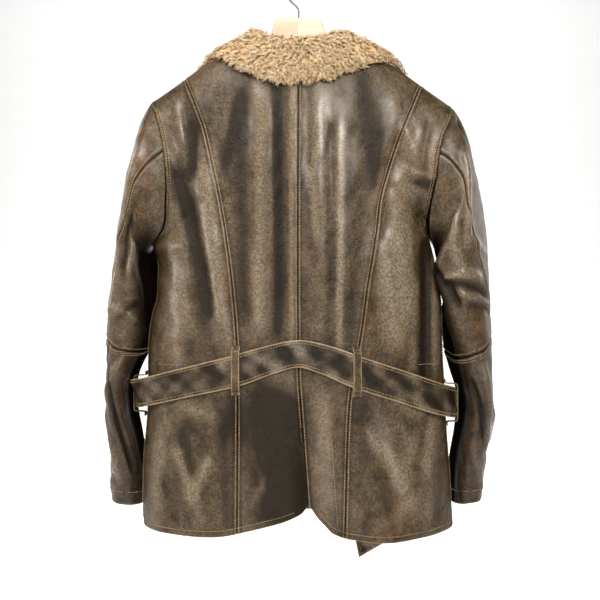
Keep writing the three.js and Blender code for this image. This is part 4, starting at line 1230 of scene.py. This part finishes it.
class CoatSettings(bpy.types.PropertyGroup):
    """Sizes and colours of the coat."""

    leather_mm: size_field("Leather", "Thickness of the leather", 1.8, 1.0, 3.0)
    edge_roll_mm: size_field("Edge roll", "How far a seam edge turns down", 0.8, 0.0, 1.4)
    stitch_mm: size_field("Stitch", "Length of one stitch with its gap", 4.2, 2.5, 8.0)
    thread_mm: size_field("Thread", "Thickness of the thread", 1.05, 0.4, 1.6)
    fur_mm: size_field("Fur", "Length of the fur", 12.0, 4.0, 20.0)
    strand_mm: size_field("Strand", "Thickness of a strand", 0.6, 0.3, 1.5)
    strands: bpy.props.IntProperty(name="Strands", description="Strands on each third of the collar",
                                   default=14000, min=1000, max=19000)
    leather_colour: colour_field("Leather", "Dye of the leather", (0.034, 0.0200, 0.0080))
    # Made lighter and bluer, this colour is also the painted highlight on the crests
    grey_colour: colour_field("Rubbed", "Leather whose dye has rubbed thin", (0.125, 0.088, 0.050))
    red_colour: colour_field("Rust", "Reddish patches", (0.085, 0.033, 0.010))
    olive_colour: colour_field("Olive", "Olive patches", (0.050, 0.036, 0.0105))
    worn_colour: colour_field("Worn edge", "Bare tan of worn edges", (0.25, 0.175, 0.095))
    inside_colour: colour_field("Inside", "Suede side of the leather", (0.115, 0.075, 0.048))
    fur_colour: colour_field("Fur", "Fur between root and tip", (0.60, 0.43, 0.245))
    # Its darkness is painted shade between the strands
    fur_root: colour_field("Fur root", "Fur at its root", (0.33, 0.205, 0.105))
    fur_tip: colour_field("Fur tip", "Fur at its tip", (0.92, 0.79, 0.57))
    thread_colour: colour_field("Thread", "Golden topstitching", (0.37, 0.275, 0.155))


class COAT_OT_stage(bpy.types.Operator):
    """Lay the floor and backdrop, and set the camera and the lights."""

    bl_idname = "coat.stage"
    bl_label = "Stage"

    def execute(self, context):
        scene = context.scene
        camera = bpy.data.objects.new("camera", bpy.data.cameras.new("camera"))
        scene.collection.objects.link(camera)
        camera.location = [v * MM for v in CAMERA]
        camera.rotation_euler = (math.pi / 2, 0, math.pi)
        camera.data.sensor_width = SENSOR
        camera.data.lens = SENSOR / 2 / (PLANE_WIDTH / 2 / CAMERA[1])
        camera.data.clip_start = 0.05
        scene.camera = camera
        bpy.ops.object.select_all(action="DESELECT")
        bpy.ops.mesh.primitive_plane_add(size=FLOOR_SIZE, location=(0, 0, FLOOR * MM))
        floor = context.object
        floor.name = "floor"
        bpy.ops.object.mode_set(mode="EDIT")
        bpy.ops.mesh.select_all(action="DESELECT")
        bpy.ops.object.mode_set(mode="OBJECT")
        for edge in floor.data.edges:
            edge.select = all(floor.data.vertices[v].co.y < -7 for v in edge.vertices)
        bpy.ops.object.mode_set(mode="EDIT")
        bpy.ops.mesh.select_mode(type="EDGE")
        bpy.ops.mesh.extrude_region_move(TRANSFORM_OT_translate={"value": (0, 0, WALL_HEIGHT)})
        bpy.ops.object.mode_set(mode="OBJECT")
        bend = floor.modifiers.new("bend", "BEVEL")
        bend.width, bend.segments, bend.limit_method = BEND, BEND_STEPS, "ANGLE"
        bpy.ops.object.modifier_apply(modifier="bend")
        paper = Finish("backdrop_paper", Roughness=0.95, Specular_IOR_Level=0.1)
        paper.feed("Base Color", paper.mix(paper.noise(900, 2, 0.5), (0.94, 0.94, 0.94, 1),
                                           (0.96, 0.96, 0.96, 1)))
        floor.data.materials.append(paper.material)
        for name, place, size, power in LIGHTS:
            lamp = bpy.data.objects.new(name + "_light", bpy.data.lights.new(name + "_light", "AREA"))
            lamp.data.size, lamp.data.energy = size, power
            lamp.data.color = (1, 1, 1) if name == "wall" else WARM
            lamp.location = place
            aim = np.array([0, -7.5, -0.4]) if name == "wall" else np.array([0, 0, -0.45])
            way = aim - np.array(place)
            level_way = math.hypot(way[0], way[1])
            lamp.rotation_euler = (math.atan2(level_way, -way[2]), 0,
                                   math.atan2(way[1], way[0]) - math.pi / 2)
            scene.collection.objects.link(lamp)
        world = bpy.data.worlds.new("studio")
        world.use_nodes = True
        world.node_tree.nodes["Background"].inputs[0].default_value = (1, 1, 1, 1)
        world.node_tree.nodes["Background"].inputs[1].default_value = 0.15
        scene.world = world
        scene.view_settings.view_transform = "Standard"
        return {"FINISHED"}


class COAT_OT_body(bpy.types.Operator):
    """Lay the four back panels and the two fronts."""

    bl_idname = "coat.body"
    bl_label = "Body panels"

    def execute(self, context):
        for side in SIDES:
            s = side["sign"]
            seam, edge = side_line(side, "princess"), side_line(side, "edge")
            under = VENT_UNDERLAP if side is LEFT else 0
            near = lambda d: centre(d) + s * CLOSED - under * ramp(VENT_TOP, VENT_TOP + 30, d)
            panel("back_%s_centre" % side["name"], True, near, lambda d: seam(d) - s * CLOSED, back_top,
                  back_hem, 38, BACK_ROWS, underlap if side is LEFT else flat)
            panel("back_%s_side" % side["name"], True, lambda d: seam(d) + s * CLOSED, edge, back_top,
                  back_hem, 44, BACK_ROWS, flat, 1.9)
            panel("front_" + side["name"], False, level(-s * FRONT_PAST_MIDDLE), edge, front_top(side),
                  level(FRONT_HEM), 50, FRONT_ROWS, overlap if side is RIGHT else flat, 1.5)
        return {"FINISHED"}


class COAT_OT_sleeves(bpy.types.Operator):
    """Lay the three panels of each sleeve."""

    bl_idname = "coat.sleeves"
    bl_label = "Sleeves"

    def execute(self, context):
        gap, slit = 0.0007, 0.2
        above, below = (lambda a: elbow(a) - gap), (lambda a: elbow(a) + gap)
        for side in SIDES:
            name = side["name"]
            seam = lambda t: smooth(BACK_SEAM_ANGLE[name], t)
            sleeve_piece("top_sleeve_" + name, side, level(0), above, lambda t: seam(t) + slit,
                         level(FRONT_SEAM_ANGLE - slit), 62, SLEEVE_ROWS)
            sleeve_piece("under_sleeve_" + name, side, level(0), above, level(FRONT_SEAM_ANGLE + slit),
                         lambda t: 360 + seam(t) - slit, 52, SLEEVE_ROWS)
            sleeve_piece("lower_sleeve_" + name, side, below, level(1), level(0), level(360), 116,
                         LOWER_ROWS, True, "dark")
        return {"FINISHED"}


class COAT_OT_collar(bpy.types.Operator):
    """Lay the collar's backing and grow its fur."""

    bl_idname = "coat.collar"
    bl_label = "Fur collar"

    def execute(self, context):
        grid = even_ring(collar_sections(BACKING, 0.13, 60), 60)
        rings, around = grid.shape[:2]
        faces = tube_faces(rings, around)
        fans = []
        verts = grid.reshape(-1, 3)
        k = np.arange(around)
        for ring, way in ((0, -1), (rings - 1, 1)):
            hub = np.full(around, len(verts))
            verts = np.concatenate([verts, grid[ring].mean(axis=0)[None]])
            rim = [ring * around + k, ring * around + (k + 1) % around]
            fans.append(np.stack([hub, *rim[::way]], -1))
        tris = np.concatenate([faces[:, [0, 1, 2]], faces[:, [0, 2, 3]], *fans])
        shade = 0.5 + 0.3 * ripple(verts, 14, 5)
        backing = lay_mesh("collar_backing", verts, tris, [finish_named("fur")], None,
                           {"tip": np.full(len(verts), 0.30), "shade": shade})
        finish_piece(backing, "collar_fur", "fur_collar")
        size_sheet(grid[:, : around // 2])
        cut = [0, int(rings * 0.33), int(rings * 0.67), rings]
        for k, name in enumerate(("left", "back", "right")):
            grow_fur("collar_fur_" + name, grid, (cut[k], min(cut[k + 1] + 1, rings)),
                     context.scene.worn_coat.strands, 70 + k)
        return {"FINISHED"}


class COAT_OT_belt(bpy.types.Operator):
    """Lay the belt and the four loops that carry it."""

    bl_idname = "coat.belt"
    bl_label = "Belt and loops"

    def execute(self, context):
        w = np.linspace(-0.5, 0.5, 19)
        rows = belt_rows()
        edge = (0.5 - np.abs(w)) * BELT_WIDTH
        lift = BELT_LEATHER / 2 - 0.55 * hill(edge, 1.1) + 0.35 * hill(edge, 2.2, 5.0)
        outer = np.array([row(w, lift) for row in rows])
        inner = np.array([row(w, -lift) for row in rows])
        worn = np.tile(0.95 * np.exp(-edge / 1.7) + 0.2 * np.exp(-edge / 6), (len(rows), 1))
        worn[[0, -1]] = np.maximum(worn[[0, -1]], 0.8)
        painted_light_and_tone = 0.8 * ripple(outer, 30, 51) - 0.15
        lay_wall("belt", outer, inner, worn, np.clip(painted_light_and_tone, -1, 1), ("dark", "dark"), "belt_leather")
        for name, (t, on_side) in LOOPS.items():
            self.loop(name, t, on_side)
        return {"FINISHED"}

    def loop(self, name, t, on_side):
        middle, _, out, width = belt_frame(t)
        middle, out = middle.reshape(3), out.reshape(3)
        across = unit(np.cross(UP, out))
        side = LEFT if middle[0] >= 0 else RIGHT
        half = float(width) / 2 + 4

        def seat(u):
            depth = -middle[2] - u
            if on_side:
                place = np.array([float(side_line(side, "edge")(depth)), middle[1], -depth])
            else:
                place = body_point(True, middle[0], depth, 0, False).reshape(3)
            return float((place - middle) @ out) + (2 if on_side else 1) * SEAT + 0.25

        over = BELT_LEATHER / 2 + LOOP_EASE
        foot = half + (2 if on_side else 3)
        end = half + 9
        path = np.array([[seat(end), end], [seat(foot), foot], [over, half + 1.2], [over + 0.3, half - 8],
                         [over + 0.3, 0], [over + 0.3, 8 - half], [over, -half - 1.2],
                         [seat(-foot), -foot], [seat(-end), -end]])
        length = run_length(path)
        fine = walk(path, length, np.linspace(0, length[-1], 70))
        for _ in range(3):
            soften(fine)
        run = unit(np.gradient(fine, axis=0))
        w = np.linspace(-0.5, 0.5, 9)
        edge = (0.5 - np.abs(w)) * LOOP_WIDTH
        thick = LOOP_LEATHER - 0.4 * hill(edge, 0.8)

        def sheet(away):
            o = fine[:, 0, None] - run[:, 1, None] * away
            u = fine[:, 1, None] + run[:, 0, None] * away
            return (middle + out * o[..., None] + UP * u[..., None]
                    + across * (w * LOOP_WIDTH)[None, :, None])

        outer, inner = sheet(thick[None, :]), sheet(0 * thick[None, :])
        worn = np.tile(0.9 * np.exp(-edge / 1.2) + 0.15, (len(fine), 1))
        lay_wall("belt_loop_" + name, outer, inner, worn, 0 * worn, ("coat", "suede"), "belt_leather")


class COAT_OT_topstitching(bpy.types.Operator):
    """Sew the double topstitching along the seams, hems and belt."""

    bl_idname = "coat.topstitching"
    bl_label = "Topstitching"

    def execute(self, context):
        body, arms, strap = [], [], []
        turn = np.radians(np.linspace(0, 360, 280))
        for side in SIDES:
            s = side["sign"]
            seam, edge = side_line(side, "princess"), side_line(side, "edge")
            for off in (-SEAM_STITCHES, SEAM_STITCHES):
                body.append(body_line(True, lambda d: seam(d) + off, side["princess"][0][0] + 6, 842))
            for off in (4, 7):
                body.append(body_line(True, lambda d: edge(d) - s * off, side["tip"] + 12,
                                      side["armpit"] - 14))
            for back in (True, False):
                body.append(body_line(back, lambda d: edge(d) - s * 2.5, side["armpit"] + 20, 838))
            body.append(hem_line(True, level(TAPE_DEPTH), s * 214, s * 176, 3))
            for off in (-0.06, 0.06):
                t = np.linspace(0.01, 0.64, 320)
                angle = np.radians(smooth(BACK_SEAM_ANGLE[side["name"]], t)) + off
                arms.append(sleeve_line(side, t, angle))
            for off in ELBOW_STITCHES:
                arms.append(sleeve_line(side, elbow(turn) + off, turn))
            arms.append(sleeve_line(side, CUFF_STITCHES, np.radians(np.linspace(0, 360, 260))))
        for off, end in ((-SEAM_STITCHES, 798), (SEAM_STITCHES, 690)):
            body.append(body_line(True, lambda d: centre(d) + off, 122, end))
        body.append(body_line(True, lambda d: centre(d) - 41, 640, 836))
        body.append(hem_line(True, back_hem, -234, -30, 9))
        body.append(hem_line(True, back_hem, 4, 234, 9))
        body.append(hem_line(False, level(FRONT_HEM), -234, 20, 9, overlap))
        for x in FRONT_EDGE_STITCHES:
            body.append(body_line(False, level(x), 350, 832, 0.6, overlap))
        stitches("topstitching_body", body)
        stitches("topstitching_sleeves", arms)
        rows = belt_rows()
        for w in (-0.385, 0.385):
            for face in (1, -1):
                line, deep = (np.array([row(np.array([w]), np.array([lift]))[0] for row in rows])
                              for lift in (face * (BELT_LEATHER / 2 + 0.45), 0.0))
                strap.append((line, unit(line - deep)))
        stitches("topstitching_belt", strap)
        return {"FINISHED"}


class COAT_OT_buttons(bpy.types.Operator):
    """Model one button with its rim and holes, and set each on the lapped front."""

    bl_idname = "coat.buttons"
    bl_label = "Buttons"

    def execute(self, context):
        for i, depth in enumerate(BUTTONS):
            bpy.ops.object.select_all(action="DESELECT")
            bpy.ops.mesh.primitive_cylinder_add(vertices=48, radius=BUTTON_RADIUS * MM,
                                                depth=BUTTON_THICK * MM, location=(0, 0, 0))
            button = context.object
            button.name = "horn_button_%d" % (i + 1)
            for face in button.data.polygons:
                face.select = face.normal.z > 0.9
            bpy.ops.object.mode_set(mode="EDIT")
            bpy.ops.mesh.select_mode(type="FACE")
            bpy.ops.mesh.inset(thickness=BUTTON_RIM * MM, depth=0)
            bpy.ops.mesh.inset(thickness=1.0 * MM, depth=-1.0 * MM)
            bpy.ops.object.mode_set(mode="OBJECT")
            for x, y in ((1, 1), (-1, 1), (-1, -1), (1, -1)):
                bpy.ops.mesh.primitive_cylinder_add(vertices=12, radius=HOLE_RADIUS * MM, depth=12 * MM,
                                                    location=(x * HOLE_OUT * MM, y * HOLE_OUT * MM, 0))
                drill = context.object
                cut = button.modifiers.new("hole", "BOOLEAN")
                cut.object, cut.operation = drill, "DIFFERENCE"
                context.view_layer.objects.active = button
                bpy.ops.object.modifier_apply(modifier="hole")
                bpy.data.objects.remove(drill, do_unlink=True)
            round_off = button.modifiers.new("round", "BEVEL")
            round_off.width, round_off.segments = 0.5 * MM, 2
            round_off.limit_method, round_off.angle_limit = "ANGLE", math.radians(50)
            bpy.ops.object.select_all(action="DESELECT")
            button.select_set(True)
            context.view_layer.objects.active = button
            bpy.ops.object.modifier_apply(modifier="round")
            lift = float(overlap(BUTTON_X)) + SEAT + BUTTON_STAND + BUTTON_THICK / 2
            place = body_point(False, BUTTON_X, float(depth), lift, False).reshape(3) * MM
            normal = body_normal(False, BUTTON_X, float(depth), False).reshape(3)
            side = unit(np.cross(UP, normal))
            turn = np.stack([side, np.cross(normal, side), normal], 1)
            for vertex in button.data.vertices:
                vertex.co = turn @ np.array(vertex.co) + place
            button.data.materials.append(finish_named("horn"))
            finish_piece(button, "button_horn", "button_%d" % (i + 1), angle=30)
        return {"FINISHED"}


class COAT_OT_hanger(bpy.types.Operator):
    """Finish the hanger's two wooden halves and its hook."""

    bl_idname = "coat.hanger"
    bl_label = "Hanger"

    def execute(self, context):
        for node, name in (("hanger_left", "wood_left"), ("hanger_right", "wood_right"), ("hook", "steel")):
            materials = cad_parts[node].data.materials
            materials.clear()
            materials.append(finish_named(name))
        return {"FINISHED"}


class COAT_PT_panel(bpy.types.Panel):
    """The coat's pieces and sizes."""

    bl_idname = "COAT_PT_panel"
    bl_label = "Worn leather coat"
    bl_space_type = "VIEW_3D"
    bl_region_type = "UI"
    bl_category = "Coat"

    def draw(self, context):
        for operator in OPERATORS:
            self.layout.operator(operator.bl_idname)
        for key in CoatSettings.__annotations__:
            self.layout.prop(context.scene.worn_coat, key)


OPERATORS = (COAT_OT_stage, COAT_OT_body, COAT_OT_sleeves, COAT_OT_collar, COAT_OT_belt,
             COAT_OT_topstitching, COAT_OT_buttons, COAT_OT_hanger)
CLASSES = (CoatSettings, *OPERATORS, COAT_PT_panel)


def register():
    for cls in CLASSES:
        bpy.utils.register_class(cls)
    bpy.types.Scene.worn_coat = bpy.props.PointerProperty(type=CoatSettings)


def unregister():
    del bpy.types.Scene.worn_coat
    for cls in reversed(CLASSES):
        bpy.utils.unregister_class(cls)


def main():
    register()
    for name in ("stage", "body", "sleeves", "collar", "belt", "topstitching", "buttons", "hanger"):
        getattr(bpy.ops.coat, name)()


if __name__ == "__main__":
    main()
